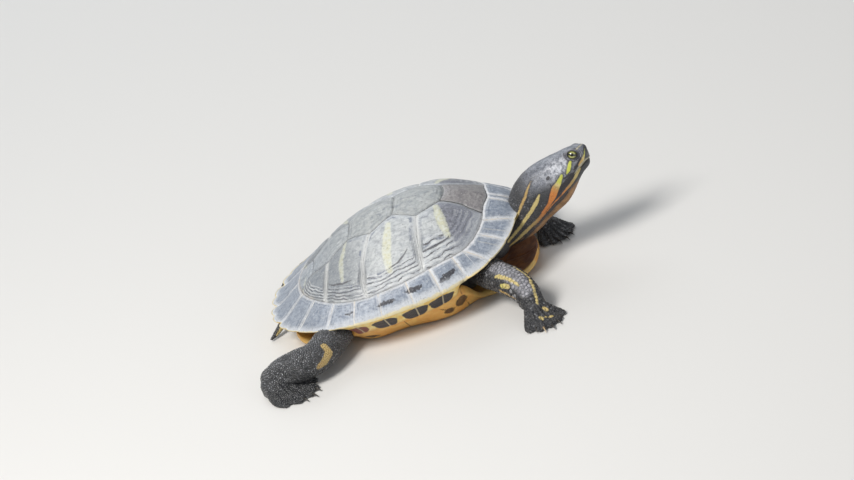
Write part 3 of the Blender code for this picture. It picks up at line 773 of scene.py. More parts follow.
def shapeSkin(obj):
    points = getPoints(obj)
    local = toHead(points)
    side = np.where(local[:, 1] < 0, -1.0, 1.0)
    local[:, 1] = np.abs(local[:, 1])
    local, onLids = shapeEyes(local)
    local = shapeMouth(local)
    fold = awayFrom(local, facePlan["cornerFold"])
    nostril = np.linalg.norm((local - facePlan["nostril"]) * (0.6, 1, 1), axis=1)
    cheek = np.linalg.norm(local - facePlan["tympanum"], axis=1)
    points = fromHead(local * np.stack([np.ones(len(local)), side, np.ones(len(local))], 1))
    setPoints(obj, points)
    normals = getNormals(obj)
    back = -local[:, 0]
    ahead = 1 - fade(60, 68, back)
    lift = -0.3 * bump(0, 0.6, fold) * ahead
    lift += (-0.95 * bump(0, 0.62, nostril) + 0.16 * bump(1.25, 0.4, nostril)) * fade(0.5, 1.6, local[:, 0])
    lift += (-0.4 * bump(0, 3.2, cheek) + 0.16 * bump(4.4, 0.8, cheek)) * (back > 25)
    # ridge from the nose to over the eye, and loose folds behind the jaw and down the neck
    lift += 0.4 * bump(0, 1.1, awayFrom(local, facePlan["ridge"])) * ahead
    angle = np.arctan2(local[:, 2] - 1, local[:, 1])
    swirl = softNoise(points, 22, 31) * 1.2
    lengthwise = np.clip(np.cos(angle * 17 + swirl + back * 0.05), 0, 1) ** 3
    crosswise = np.clip(np.cos(back * 1.5 + swirl * 1.6 + angle * 3), 0, 1) ** 3
    lift += -0.2 * lengthwise * fade(22, 34, back) * fade(26, 44, back)
    lift += -0.16 * crosswise * bump(31, 12, back) * fade(1.1, 0.2, angle)
    lift += softNoise(points, 7, 33) * 0.07 * fade(3, 12, back) + softNoise(points, 3, 34) * 0.035
    lift = np.where(onLids, 0, lift)
    shank = awayFrom(points, facePlan["shankFold"])
    lift = (lift * fade(118, 92, back) * (points[:, 2] > 22) - 1.1 * bump(0, 1.3, shank)
            + 0.5 * bump(3.2, 1.6, shank))
    # clefts between the digits, and a full knuckle on each
    upward = normals[:, 2] > 0
    for plan in footPlan.values():
        near = (np.linalg.norm(points[:, :2] - plan["heel"], axis=1) < plan["length"] + 4) & upward
        rays = [digitRay(plan, number) for number in range(digits)]
        for (heel, ray, length), (_, nextRay, nextLength) in zip(rays, rays[1:]):
            middle, reach = (ray + nextRay) / 2, (length + nextLength) / 2
            cleft = awayFrom(points * (1, 1, 0),
                             [(*(heel + middle * reach * share), 0) for share in (0.48, 1.05)])
            lift -= 1.1 * bump(0, 0.95, cleft) * near * fade(1.0, 3.0, points[:, 2])
        for heel, ray, length in rays:
            knuckle = np.linalg.norm(points[:, :2] - (heel + ray * length * 0.62), axis=1)
            lift += 0.9 * bump(0, 2.2, knuckle) * near * (points[:, 2] < 14)
    setPoints(obj, points + normals * lift[:, None])


shapeSkin(skin)
keepInside(skin)


# each stripe: its path, its half widths along it, and how warm it is:
# 0 green-yellow, 0.35 pale yellow, 0.6 tan, 1 orange
marksPlan = {
    # on the head and neck, in the head's directions with y positive
    "headStripes": [
        ([(-11.4, 11.2, 6.8), (-13.6, 12.6, 4.4), (-15.8, 13.5, 2.4), (-18.6, 14.2, 0.9)],
         (1.1, 1.4, 1.45, 0.5), (0, 0, 0.05, 0.1)),
        ([(-22.6, 15.2, 2.2), (-27.6, 16.5, -1.2), (-32.9, 16.9, -3.5), (-39.3, 15.9, -7.8),
          (-45.1, 14.6, -11.1), (-53.3, 13.3, -13.8), (-59.5, 12.3, -16.1), (-65.4, 12.6, -17.2),
          (-72.5, 13.0, -18.4), (-78.5, 13.1, -19.5), (-96, 11, -23)],
         (1.0, 1.9, 2.9, 2.6, 1.5, 1.4, 1.4, 1.5, 1.6, 1.5, 1.3),
         (0.0, 0.1, 0.75, 1, 1, 0.95, 0.8, 0.6, 0.5, 0.45, 0.5)),
        ([(-46.4, 15.9, 12.6), (-52.7, 16.9, 8.6), (-57.6, 17.1, 4.8), (-63.4, 16.9, 1.5),
          (-71.7, 16.1, -3.5), (-79.5, 14.6, -7.1), (-98, 14, -14)],
         (0.6, 1.0, 1.25, 1.25, 1.1, 1.2, 1.2), (0.55, 0.55, 0.6, 0.6, 0.45, 0.4, 0.4)),
        ([(-46.6, 17.8, -0.2), (-53.0, 17.5, -4.2), (-61.5, 16.6, -8.1), (-70.0, 15.9, -10.8),
          (-75.7, 15.5, -13.3), (-98, 14, -19)],
         (0.7, 1.55, 1.45, 1.35, 1.2, 1.0), (0.35, 0.35, 0.4, 0.35, 0.4, 0.4)),
        ([(3.0, 3.2, 8.2), (0.6, 5.8, 4.6), (-2.9, 7.8, 1.9), (-7.0, 8.9, 0.0)], (0.6, 0.75, 1.35, 1.6),
         (0.05, 0.12, 0.5, 0.7)),
        ([(-7.6, 9.2, -1.9), (-11.5, 9.3, -3.6), (-16.6, 10.3, -6.3), (-22.4, 12.0, -8.4),
          (-28.8, 14.0, -9.6), (-40.3, 14.0, -12.4), (-51.0, 12.5, -15.2), (-61.4, 11.8, -17.9),
          (-84.9, 10.0, -23)],
         (0.9, 1.35, 1.5, 1.3, 0.9, 0.6, 0.5, 0.5, 0.4), (0.3, 0.35, 0.45, 0.7, 0.85, 0.9, 0.9, 0.8, 0.8)),
    ],
    "headDarks": [
        ([(-3.6, 8.2, 4.2), (-8.4, 10.2, 1.4), (-12.4, 11.2, 0.2)], (1.0, 1.1, 0.8)),
        ([(-13.3, 10.9, -1.8), (-17.3, 13.0, -1.4), (-22.2, 15.1, -0.8)], (0.9, 1.0, 0.8)),
        ([(-16.5, 12.1, -2.8), (-21, 13.6, -4.6), (-27, 15.6, -5.6), (-33, 16.6, -7.6),
          (-39.5, 15.4, -10.6), (-46, 13.6, -12.9), (-56.4, 12.4, -15.9), (-70, 12.0, -19.0),
          (-96, 9.5, -25)],
         (1.7, 2.3, 1.9, 1.4, 1.2, 1.0, 1.0, 0.9, 0.9)),
        ([(-28.0, 11.9, -12.2), (-38.0, 12.2, -14.8), (-49.9, 10.6, -17.2), (-62.4, 9.9, -19.8),
          (-74.9, 9.8, -22.6), (-96, 7, -28)],
         (0.9, 1.0, 0.9, 0.9, 0.9, 0.9)),
        ([(-30, 6.0, -17.0), (-45, 3.5, -20.5), (-62, 3.5, -23.5), (-96, 3, -30)], (0.5, 0.6, 0.7, 0.7)),
        ([(-32.2, 16.3, 7.0), (-33.2, 16.3, 6.6)], (1.3, 1.3)),
    ],
    "noseLine": [(-3.6, 6.3, 11.6), (-1.4, 4.9, 12.0), (0.4, 2.9, 12.3), (1.8, 0.8, 12.2)],
    # on the limbs and tail, in the model's own places: right arm, right hand, left arm, thighs, tail
    "bodyStripes": [
        ([(100.4, -69.0, 33.9), (105.9, -75.8, 32.2), (110.6, -81.3, 28.1), (112.9, -89.0, 24.0),
          (113.6, -96.0, 18.2), (113.9, -101.5, 13.6)],
         (0.7, 0.85, 0.9, 0.9, 0.8, 0.5), (0.4, 0.35, 0.35, 0.35, 0.35, 0.4)),
        ([(84, -73, 33.0), (87.5, -75.5, 33.3), (93.6, -81.6, 32.9), (99.0, -86.4, 31.0),
          (102.5, -89.8, 28.2)],
         (0.8, 1.2, 1.1, 0.9, 0.5), (0.3, 0.3, 0.35, 0.35, 0.4)),
        ([(87.6, -81.2, 27.0), (91.1, -84.3, 28.0), (94.0, -86.6, 28.0)], (1.3, 1.8, 1.2),
         (0.2, 0.25, 0.3)),
        ([(84, -79, 22), (90, -86, 20), (96, -92, 18)], (1.4, 1.5, 0.8), (0.6, 0.6, 0.6)),
        ([(117.6, -103.6, 9.9), (119.6, -105.6, 8.6)], (0.9, 1.2), (0.45, 0.45)),
        ([(118.8, -112.6, 6.4), (121.4, -113.0, 6.2), (123.8, -112.6, 5.4)], (0.8, 0.9, 0.8),
         (0.45, 0.45, 0.45)),
        ([(113.6, -111.4, 7.0), (115.4, -113.8, 6.2)], (0.8, 0.9), (0.4, 0.4)),
        ([(99, 55, 33), (106, 60, 29), (112, 58, 22), (116, 51, 14)], (1.0, 1.1, 1.1, 0.8),
         (0.4, 0.35, 0.35, 0.35)),
        ([(90, 66, 31), (97, 69, 27), (103, 67, 22)], (1.3, 1.4, 0.8), (0.35, 0.35, 0.4)),
        ([(-61.7, -94.0, 26.4), (-59.2, -97.2, 21.0), (-63.7, -102.7, 17.7), (-69.0, -106.5, 16.4)],
         (2.2, 3.0, 3.0, 1.8), (0.5, 0.5, 0.5, 0.55)),
        ([(-58, 66, 25), (-56, 72, 19), (-62, 75, 14)], (2.0, 2.6, 2.0), (0.5, 0.5, 0.5)),
        ([(-86, -3.5, 18), (-95, -4.6, 14.6), (-104.0, -5.2, 10.2), (-108.0, -7.0, 6.6), (-113, -10, 3.6)],
         (0.9, 1.2, 1.4, 1.2, 0.6), (0.4, 0.35, 0.35, 0.35, 0.4)),
        ([(-86, 3.5, 18), (-95, 3.6, 14.6), (-103.0, 1.5, 11.2), (-109.0, -2.6, 6.6)], (0.9, 1.0, 1.0, 0.7),
         (0.4, 0.35, 0.35, 0.35)),
    ],
    # along the top of each arm, where the scales are pale
    "armTops": {-1: [(84, -58, 36), (92, -72, 36), (101, -83, 33), (107, -92, 25)],
                1: [(84, 52, 36), (96, 62, 33), (104, 60, 27), (110, 51, 20)]},
}


def stripeField(points, stripes, coat=0.0):
    # how far inside the nearest stripe each place is, and that stripe's warmth
    best, warm = np.full(len(points), outside), np.zeros(len(points))
    for stripe in stripes:
        path, halves = np.array(stripe[0]), stripe[1]
        low, high = path.min(axis=0) - 9, path.max(axis=0) + 9
        near = np.nonzero(np.all((points > low) & (points < high), axis=1))[0]
        if not len(near):
            continue
        at = runLength(path)
        away, along = pathDistance(points[near], path)
        # the stripe is wide on the surface, so depth under it counts for less
        inside = np.interp(along, at, halves) - np.maximum(0, away - coat)
        better = inside > best[near]
        chosen = near[better]
        best[chosen] = inside[better]
        if len(stripe) > 2:
            warm[chosen] = np.interp(along[better], at, stripe[2])
    return best, warm


def skinFields(points):
    local = toHead(points)
    local[:, 1] = np.abs(local[:, 1])
    x, y, z = points.T
    ahead, _, above = local.T
    onHead = (ahead > -100) & (x > 84) & (np.abs(y + 3) < 26) & (z > 26)
    stripe, warm = stripeField(points, marksPlan["bodyStripes"], 0.4)
    headStripe, headWarm = stripeField(local, marksPlan["headStripes"])
    dark, _ = stripeField(local, marksPlan["headDarks"])
    # pale cutting edge of the beak and the dark line under it, and a pale line from the eye over the nose
    offset = above - smoothTable(facePlan["mouth"], ahead)
    front = ahead > -14.5
    beak = np.where(front, 0.85 - np.abs(offset - 0.95) - 0.5 * fade(-9, -13.5, ahead), outside)
    beak = np.maximum(beak, 0.75 - awayFrom(local, marksPlan["noseLine"]))
    lower = np.where(front, 0.75 - np.abs(offset + 0.55), outside)
    # underside of the neck and throat, the nose tip, and the lids
    throat = -(above + 9.5 - 0.24 * np.minimum(0, ahead + 20))
    nose = 4.0 - np.linalg.norm((local - (3.4, 0, 6.4)) * (1, 0.8, 0.62), axis=1)
    _, _, height, out = eyeShares(local)
    # how light the ground colour is on the head, arms, legs and feet
    headTop = fade(-2, 9, above) * fade(-64, -44, ahead)
    # the pale patch behind each eye is a painted highlight
    temple = bump(0, 10, np.linalg.norm((local - (-22, 14, 8.5)) * (0.75, 1, 1.2), axis=1))
    reach = np.where(y < 0, *(awayFrom(points, marksPlan["armTops"][side]) for side in (-1, 1)))
    tone = np.where(onHead, 0.11 + 0.36 * headTop, 0.16)
    tone = np.where((x > 62) & ~onHead, 0.075 + 0.75 * (1 - fade(4.5, 9.0, reach)), tone)
    tone = np.where(x < -44, np.where(z < 9, 0.05, 0.13 + 0.1 * fade(12, 28, z)), tone)
    made = {name: np.where(onHead, values, outside) for name, values in
            (("dark", dark), ("beak", beak), ("lower", lower), ("throat", throat), ("nose", nose))}
    return {**made, "stripe": np.where(onHead, headStripe, stripe),
            "warm": np.where(onHead, headWarm, warm), "tone": tone,
            "onHead": onHead, "temple": np.where(onHead, temple, 0),
            "headTop": np.where(onHead, headTop, 0),
            "lid": np.where(onHead & (height > 0), out, 9)}


setFields(skin, **skinFields(getPoints(skin)))

# two colours in brackets are laid in patches, with their width and the step between them
markColours = {
    "throat": ((0.26, 0.12, 0.034), (0.46, 0.23, 0.075), 6, 0.35, 0.65), "dark": (0.028, 0.024, 0.027),
    "nose": (0.045, 0.045, 0.05), "underBeak": (0.03, 0.026, 0.022), "green": (0.60, 0.62, 0.10),
    "yellow": (0.66, 0.53, 0.22), "tan": (0.50, 0.33, 0.12), "orange": (0.66, 0.235, 0.055),
    "outline": (0.035, 0.032, 0.037), "beak": ((0.36, 0.33, 0.22), (0.50, 0.47, 0.36), 3),
}
skinColours = {
    **markColours, "ground": (0.018, 0.019, 0.02), "pale": (0.34, 0.345, 0.375),
    "blotch": (0.05, 0.052, 0.056),
    # the temple colour is a painted highlight
    "headTop": ((0.10, 0.115, 0.145), (0.27, 0.285, 0.33), 4, 0.34, 0.68, 5), "temple": (0.70, 0.715, 0.77),
    # the crease colour is painted shade in the groove round the lids
    "lid": (0.265, 0.26, 0.285), "lidEdge": (0.035, 0.033, 0.035), "crease": (0.05, 0.048, 0.052),
    "gap": (0.012, 0.012, 0.013), "grain": (0.33, 0.33, 0.35), "dirt": (0.03, 0.03, 0.03),
}


def paintMarks(paint, edge=0.35, wobble=0.8):
    # the stripes and dark lines, laid over the colour so far
    throat, dark, nose, lower, warm = paint.fields("throat", "dark", "nose", "lower", "warm")
    stripe, onHead, beak = paint.fields("stripe", "onHead", "beak")
    shake = (paint.noise(2.2) - 0.5) * wobble
    paint.over((throat + paint.noise(7) * 3.0).step(1.0, 4.5) * 0.88, "throat")
    paint.over((dark + shake).step(-edge, edge) * 0.88, "dark")
    paint.over((nose + shake).step(0.0, 1.6) * 0.8, "nose")
    paint.over((lower + shake).step(-0.2, 0.3) * 0.85, "underBeak")
    tint = paint.mix(warm.step(0.02, 0.34), "green", "yellow")
    tint = paint.mix(warm.step(0.36, 0.6), tint, "tan")
    tint = paint.mix(warm.step(0.62, 0.95), tint, "orange")
    paint.over(stripe.step(-1.7, -0.5) * onHead * 0.62, "outline")
    paint.over((stripe + shake).step(-edge, edge) * 0.95, tint)
    paint.over((beak + shake).step(-0.2, 0.35) * 0.92, "beak")


def skinPaint():
    paint = Paint("darkSkin", skinColours, specular=0.45)
    tone, headTop, temple, lid = paint.fields("tone", "headTop", "temple", "lid")
    grain, fine = paint.cells(0.95), paint.noise(0.7, 3, 0.65)
    paint.colour = paint.mix(tone, "ground", "pale")
    paint.over(0.42, paint.mix(paint.noise(4, 4).step(0.36, 0.66), paint.colour, "blotch"))
    paint.over(headTop * 0.8, "headTop")
    # painted highlight: a pale sheen over the temple behind the eye
    paint.over(temple * paint.noise(3.2, 4, 0.6).step(0.34, 0.62) * 0.9, "temple")
    paint.over(lid.step(2.5, 1.5) * 0.55, "lid")
    paint.over(lid.step(1.3, 1.12) * 0.85, "lidEdge")
    # painted shade in the groove round the lids
    paint.over(lid.step(1.56, 1.66) * lid.step(1.86, 1.74) * 0.7, "crease")
    paint.over(grain.step(0.62, 0.85) * 0.5, "gap")
    paint.over(grain.step(0.3, 0.05) * 0.28, "grain")
    paintMarks(paint)
    paint.over(fine.step(0.42, 0.25) * 0.3, "dirt")
    paint.rough = paint.noise(3) * 0.28 + 0.26
    paint.raiseBy(grain * (1.0 - headTop * 0.75) * -0.42, fine * 0.12)
    return paint.finish()


addPiece(skin, skinPaint(), "dark_skin", "trunk", "neck", "head", "lower_jaw", "tail",
         *[part + "_" + side for part in ("upper_arm", "forearm", "hand", "thigh", "shank", "foot")
           for side in ("left", "right")])


shellPlan = {
    "length": 220.0, "halfWidth": 84.0, "taper": 0.07, "rearPower": 2.12, "frontPower": 2.35, "centre": 6.0,
    "rim": [(-1, 24), (-0.75, 27), (-0.4, 29.5), (0, 31), (0.4, 34), (0.72, 39), (0.9, 46), (1, 54)],
    "keel": [(-1, 24), (-0.9, 28.5), (-0.8, 36), (-0.62, 50.5), (-0.35, 69.5), (-0.05, 82.5), (0.22, 86),
             (0.5, 83), (0.8, 68), (0.92, 61), (1, 54)],
    # place along the shell and the two powers of its section
    "powers": [(-1, 2.0, 1.0), (-0.6, 1.7, 0.86), (-0.2, 1.6, 0.7), (0.4, 1.75, 0.68), (0.75, 1.9, 0.82),
               (1, 2.0, 0.95)],
    # height under the rim by share of the way out, where the bridge joins and where the edge is free
    "joined": [(0.85, -8.0), (0.885, -13.2), (0.935, -8.2), (0.975, -3.4), (0.992, -1.3), (1.0, 0)],
    "free": [(0.85, 6.5), (0.885, 6.5), (0.935, 5.6), (0.965, 4.2), (0.99, 1.8), (1.0, 0)],
    "sectors": 600, "topRings": 122, "lipRings": 22, "wall": 6.0, "lip": 0.15,
    "seamDepth": 0.6, "seamWidth": 1.05, "ringDepth": 0.13, "keelRise": 0.9, "notch": 0.024, "tooth": 0.012,
    # mm round the rim from the front middle at which the edge plates meet, and their faint middle bars
    "edgeSeams": [4, 22.7, 45, 67.6, 91, 114.5, 138.5, 166, 190.6, 216, 248, 280, 312],
    "edgeBars": [37.5, 52.4], "backSeamFrom": 200,
    # plan places where the front edge seams reach the big plates
    "frontInner": {22.7: (83.6, 30), 37.5: (83.1, 37.7), 45: (80.3, 43), 52.4: (76.9, 48.7),
                   67.6: (64.4, 56.6)},
    # where the big plates end, as a share of the way out, by arc
    "border": [(0, 0.79), (22, 0.775), (42, 0.81), (75, 0.862), (110, 0.862), (150, 0.875), (190, 0.855),
               (215, 0.82), (245, 0.775), (285, 0.76), (312, 0.765)],
    "middleSide": [(83, 23.5), (74.4, 20), (69.4, 17), (60.9, 15.1), (52.4, 13.5), (43, 19.5), (32.4, 25),
                   (21, 19.4), (12, 15), (1, 19.8), (-9, 24), (-20, 18.5), (-30, 14), (-40, 17.2),
                   (-50, 20), (-59, 15.2), (-68, 11), (-79, 17), (-91, 24)],
    "middleCross": [[(52.4, 13.5), (54.8, 6), (55.6, 0)], [(12, 15), (13.8, 8), (13.5, 0)],
                    [(-30, 14), (-28.3, 7), (-28, 0)], [(-68, 11), (-66.5, 5), (-66, 0)]],
    "sideCross": [[(32.4, 25), (31.4, 38), (30.9, 50), (30.6, 60), (30.4, 71)],
                  [(-9, 24), (-14, 36), (-18, 48), (-19.6, 60), (-20, 72)],
                  [(-50, 20), (-53, 36), (-56, 50), (-58.5, 62)]],
    # widths of the growth rings of the four side plates: below, ahead, behind and above
    "ringWidths": [(19.0, 18.0, 14.0, 12.0), (26.0, 6.0, 5.0, 4.0), (5.0, 3.5, 3.5, 8.0),
                   (9.0, 5.0, 4.5, 4.0)],
}
halfLength = shellPlan["length"] / 2


def halfWidth(x):
    x = np.clip(np.asarray(x, float) / halfLength, -1, 1)
    power = np.where(x > 0, shellPlan["frontPower"], shellPlan["rearPower"])
    return shellPlan["halfWidth"] * (1 - np.abs(x) ** power) ** (1 / power) * (1 - shellPlan["taper"] * x)


def rimHeight(x):
    return smoothTable(shellPlan["rim"], np.asarray(x, float) / halfLength)


def domeHeight(x, y):
    place = np.asarray(x, float) / halfLength
    share = np.clip(np.abs(y) / np.maximum(halfWidth(x), 0.001), 0, 1)
    first, second = (smoothTable(column(shellPlan["powers"], j), place) for j in (1, 2))
    rim, keel = rimHeight(x), smoothTable(shellPlan["keel"], place)
    return rim + (keel - rim) * (1 - share**first) ** second


# the rim from the front middle round the left side, with the arc at each place
outlineX = halfLength * np.cos(np.linspace(0, math.pi, 4001))
outlineY = halfWidth(outlineX)
outlineArc = np.concatenate([[0], np.cumsum(np.hypot(np.diff(outlineX), np.diff(outlineY)))])
halfRound = outlineArc[-1]


def rimPlace(arc):
    # plan place on the rim for an arc that is negative on the right side
    x = np.interp(np.abs(arc), outlineArc, outlineX)
    return x, np.interp(np.abs(arc), outlineArc, outlineY) * np.where(np.asarray(arc) < 0, -1, 1)


def besideBridge(x):
    return fade(-52, -40, x) * (1 - fade(52, 64, x))


def planPoint(arc, share):
    x, y = rimPlace(arc)
    return shellPlan["centre"] + (x - shellPlan["centre"]) * share, y * share


def onDome(path):
    # plan places put on the dome, with places between them
    path = np.asarray(path, float)
    last = len(path) - 1
    steps = np.concatenate([np.linspace(k, k + 1, 6, endpoint=False) for k in range(last)] + [[last]])
    x, y = (np.interp(steps, range(len(path)), path[:, axis]) for axis in (0, 1))
    return np.stack([x, y, domeHeight(x, y)], 1)


def onPath(path, y):
    # place along the shell at which a crossing seam passes each distance from the middle
    places = sorted((place[1], place[0]) for place in path)
    return np.interp(y, [place[0] for place in places], [place[1] for place in places])


def shellRows():
    # rows from the top middle out to the rim, round the lip and back under:
    # how many points, share, under or not
    full = shellPlan["sectors"]
    rows = [(1, 0.0, False)]
    for share in 1 - (1 - np.linspace(0, 1, shellPlan["topRings"] + 1)[1:] ** 0.86):
        rows.append((full // (1 if share > 0.46 else 2 if share > 0.24 else 4 if share > 0.1 else 8),
                     share, False))
    rows += [(full, share, True)
             for share in 1 - shellPlan["lip"] * np.linspace(0, 1, shellPlan["lipRings"] + 1)[1:] ** 1.5]
    return rows + [(full // 2, 0.80, True), (full // 4, 0.7, True), (full // 8, 0.55, True),
                   (full // 8, 0.42, True), (full // 8, 0.2, True), (1, 0.0, True)]


def toothed(arc, share):
    # plates at the back end in a blunt double tooth, with a notch at each seam
    x, _ = rimPlace(arc)
    seams = np.array(shellPlan["edgeSeams"])
    here = np.abs(arc)
    after = np.clip(np.searchsorted(seams, here), 1, len(seams) - 1)
    low, high = seams[after - 1], seams[after]
    place = np.clip((here - low) / (high - low), 0, 1)
    ends = bump(0, 0.1, place) + bump(1, 0.1, place)
    wave = (shellPlan["tooth"] * np.sin(math.pi * place) ** 0.7 - shellPlan["notch"] * ends
            - 0.016 * bump(0.52, 0.09, place))
    front = -0.007 * (bump(0, 0.09, place) + bump(1, 0.09, place)) * fade(20, 60, x)
    return ((1 - fade(-103, -80, x)) * wave + front) * fade(0.8, 1.0, share)


def shellRow(count, share, under):
    arc = (np.arange(count) / count * 2 - 1) * halfRound
    x, y = planPoint(arc, share * (1 + toothed(arc, share)))
    z = domeHeight(*planPoint(arc, share))
    if under:
        outX, _ = planPoint(arc, 1.0)
        beside = besideBridge(outX)
        inner = z - shellPlan["wall"]
        z = ((rimHeight(outX) + smoothTable(shellPlan["joined"], share)) * beside
             + (z - smoothTable(shellPlan["free"], share)) * (1 - beside))
        if share < 0.86:
            blend = float(fade(0.86, 0.8, share) if share > 0.8 else 1.0)
            z = z * (1 - blend) + inner * blend
    return np.stack([x, y, z], 1), arc


def edgeLine(arc):
    # a seam of the edge plates, from the big plates out to the rim
    outer = planPoint(arc, 1.0)
    drift = 2.0 * float(fade(60, 200, arc))
    inner = shellPlan["frontInner"].get(arc) or planPoint(arc + drift,
                                                          float(smoothTable(shellPlan["border"], arc)))
    return onDome([inner, ((inner[0] + outer[0]) / 2, (inner[1] + outer[1]) / 2), outer])


def makeCarapace():
    rows = shellRows()
    made = [shellRow(*row) for row in rows]
    points = np.vstack([row[0] for row in made])
    arcs = np.abs(np.concatenate([row[1] for row in made]))
    counts = [row[0] for row in rows]
    shares, under = (np.repeat([row[j] for row in rows], counts) for j in (1, 2))
    carapace = newPiece("carapaceShell", points, bridgeRows(counts))
    normals = getNormals(carapace)
    plan = folded(points)  # both sides are worked out on the left half
    x, y = plan[:, 0], plan[:, 1]
    # which plate each place is on
    border = smoothTable(shellPlan["border"], arcs)
    sideLine = np.array(shellPlan["middleSide"])[::-1]
    middleHalf = np.interp(x, sideLine[:, 0], sideLine[:, 1])
    onEdge = (shares > border) | under
    onMiddle = ~onEdge & (y < middleHalf)
    onSide = ~onEdge & ~onMiddle
    # distance to every seam on the dome
    borderArcs = np.linspace(0, halfRound, 90)
    borderPath = np.stack(planPoint(borderArcs, smoothTable(shellPlan["border"], borderArcs)), 1)
    toBorder, toMiddle = (awayFrom(plan, onDome(path)) for path in (borderPath, shellPlan["middleSide"]))
    toCross, toSide = ([awayFrom(plan, onDome(path)) for path in shellPlan[name]]
                       for name in ("middleCross", "sideCross"))
    backSeam = np.where(arcs > shellPlan["backSeamFrom"], y, 1e3)
    toEdge = np.minimum(backSeam, awayFrom(plan, onDome([planPoint(4, 0.79), planPoint(4, 1.0)])))
    for arc in shellPlan["edgeSeams"][1:-1]:
        toEdge = np.minimum(toEdge, np.where(under, np.abs(arcs - arc), awayFrom(plan, edgeLine(arc))))
    toBar = np.minimum.reduce([awayFrom(plan, edgeLine(arc)) for arc in shellPlan["edgeBars"]])
    seam = np.where(onEdge, np.minimum(toEdge, np.where(under, 1e3, toBorder)),
                    np.minimum.reduce([toMiddle, toBorder,
                                       np.where(onMiddle, np.minimum.reduce(toCross),
                                                np.minimum.reduce(toSide))]))
    # how far in from its plate's edge each place is, in rings of growth: 0 at the edge, 1 innermost
    wobble = softNoise(points, 26, 3) * 0.9 + softNoise(points, 9, 4) * 0.35
    sideNumber = 1 + sum((x <= onPath(path, y)).astype(int) for path in shellPlan["sideCross"])
    ofPlate = lambda choices: np.choose(sideNumber - 1, choices)
    frontOf, rearOf = ofPlate([toBorder, *toSide]), ofPlate([*toSide, toBorder])
    lowWide, frontWide, rearWide, topWide = (ofPlate(widths) for widths in shellPlan["ringWidths"])
    lowPart = fade(0.40, 0.62, shares)
    ringSide = np.minimum.reduce([
        (toBorder + wobble) / np.where(sideNumber == 1, lowWide * lowPart + frontWide * (1 - lowPart),
                                       lowWide),
        (frontOf + wobble * 0.5) / frontWide, (rearOf + wobble * 0.3) / rearWide,
        (toMiddle + wobble * 0.4) / topWide])
    ringMiddle = np.minimum.reduce([toMiddle, toBorder, *toCross]) / 9 + wobble * 0.03
    ringEdge = np.where(under, 1.0, np.minimum(np.minimum(toEdge, toBorder) / 6.5, 1.2)) + wobble * 0.04
    ring = (np.clip(np.where(onEdge, ringEdge, np.where(onMiddle, ringMiddle, ringSide)), 0, 1)
            + softNoise(points, 17, 11) * 0.035)
    # shape: grooves at seams, plates a little full, rings stepped in, low keel, worn bumps
    top = ~under & (shares < 0.995)
    groove = (-shellPlan["seamDepth"] * bump(0, shellPlan["seamWidth"], seam)
              * np.where(shares > 0.99, 0.3, 1.0))
    full = 0.75 * (1 - np.exp(-seam / 5.0)) - 0.45
    rings = ring * np.where(onSide, 5.0, np.where(onMiddle, 3.0, 2.2)) + softNoise(points, 40, 5) * 0.3
    patchy = fade(-0.5, 0.5, softNoise(points, 34, 6))
    steps = (shellPlan["ringDepth"] * np.cos(fullTurn * rings) * (ring < 1) * fade(0, 2.5, seam)
             * np.where(onSide, 0.35 + 0.65 * patchy, 0.25 * patchy))
    lift = groove + (full + steps) * np.where(onEdge & (shares > 0.97), 0.2, 1.0)
    lift += shellPlan["keelRise"] * bump(0, 4.2, y) * ~onEdge * fade(0, 6, seam)
    lift = np.where(under, -0.5 * bump(0, 0.8, seam) * fade(0.86, 0.9, shares) * (shares < 0.985), lift)
    worn = softNoise(points, 11, 8) * 0.10 + softNoise(points, 30, 9) * 0.22
    lift += np.where(under & (shares < 0.86), 0, worn) * (shares < 0.985)
    lift = np.where(top | under, lift, 0) - np.where(top, 0.45, 0)
    setPoints(carapace, points + normals * lift[:, None])
    # fields for the finish; each family of seams changes sign from plate to plate, so its line is sharp
    middleNumber = sum((x < onPath(path, y)).astype(int) for path in shellPlan["middleCross"])
    edgeNumber = np.searchsorted(shellPlan["edgeSeams"], arcs)
    odd = lambda number: np.where(number % 2 == 1, 1.0, -1.0)
    firstMiddle = onMiddle & (x > onPath(shellPlan["middleCross"][0], y))
    setFields(carapace, ring=ring, share=shares, under=under, plateOne=onSide & (sideNumber == 1),
              seamBorder=toBorder * np.where(shares < border, 1, -1),
              seamMiddle=toMiddle * np.where(y < middleHalf, 1, -1),
              seamCross=np.minimum.reduce(toCross) * odd(middleNumber),
              seamSide=np.minimum.reduce(toSide) * odd(sideNumber),
              seamEdge=np.minimum(toEdge, 50) * np.where((toEdge == backSeam) | (arcs < 80), 1.0,
                                                         odd(edgeNumber)),
              edgeBar=np.where(onEdge & ~under, toBar, 50),
              firstMiddle=np.where(firstMiddle, np.minimum.reduce([toMiddle, toBorder, toCross[0]]), -1))
    return carapace, arcs, shares, under


carapace, shellArcs, shellShares, shellUnder = makeCarapace()
print("carapace:", triangleCount(carapace), "triangles")


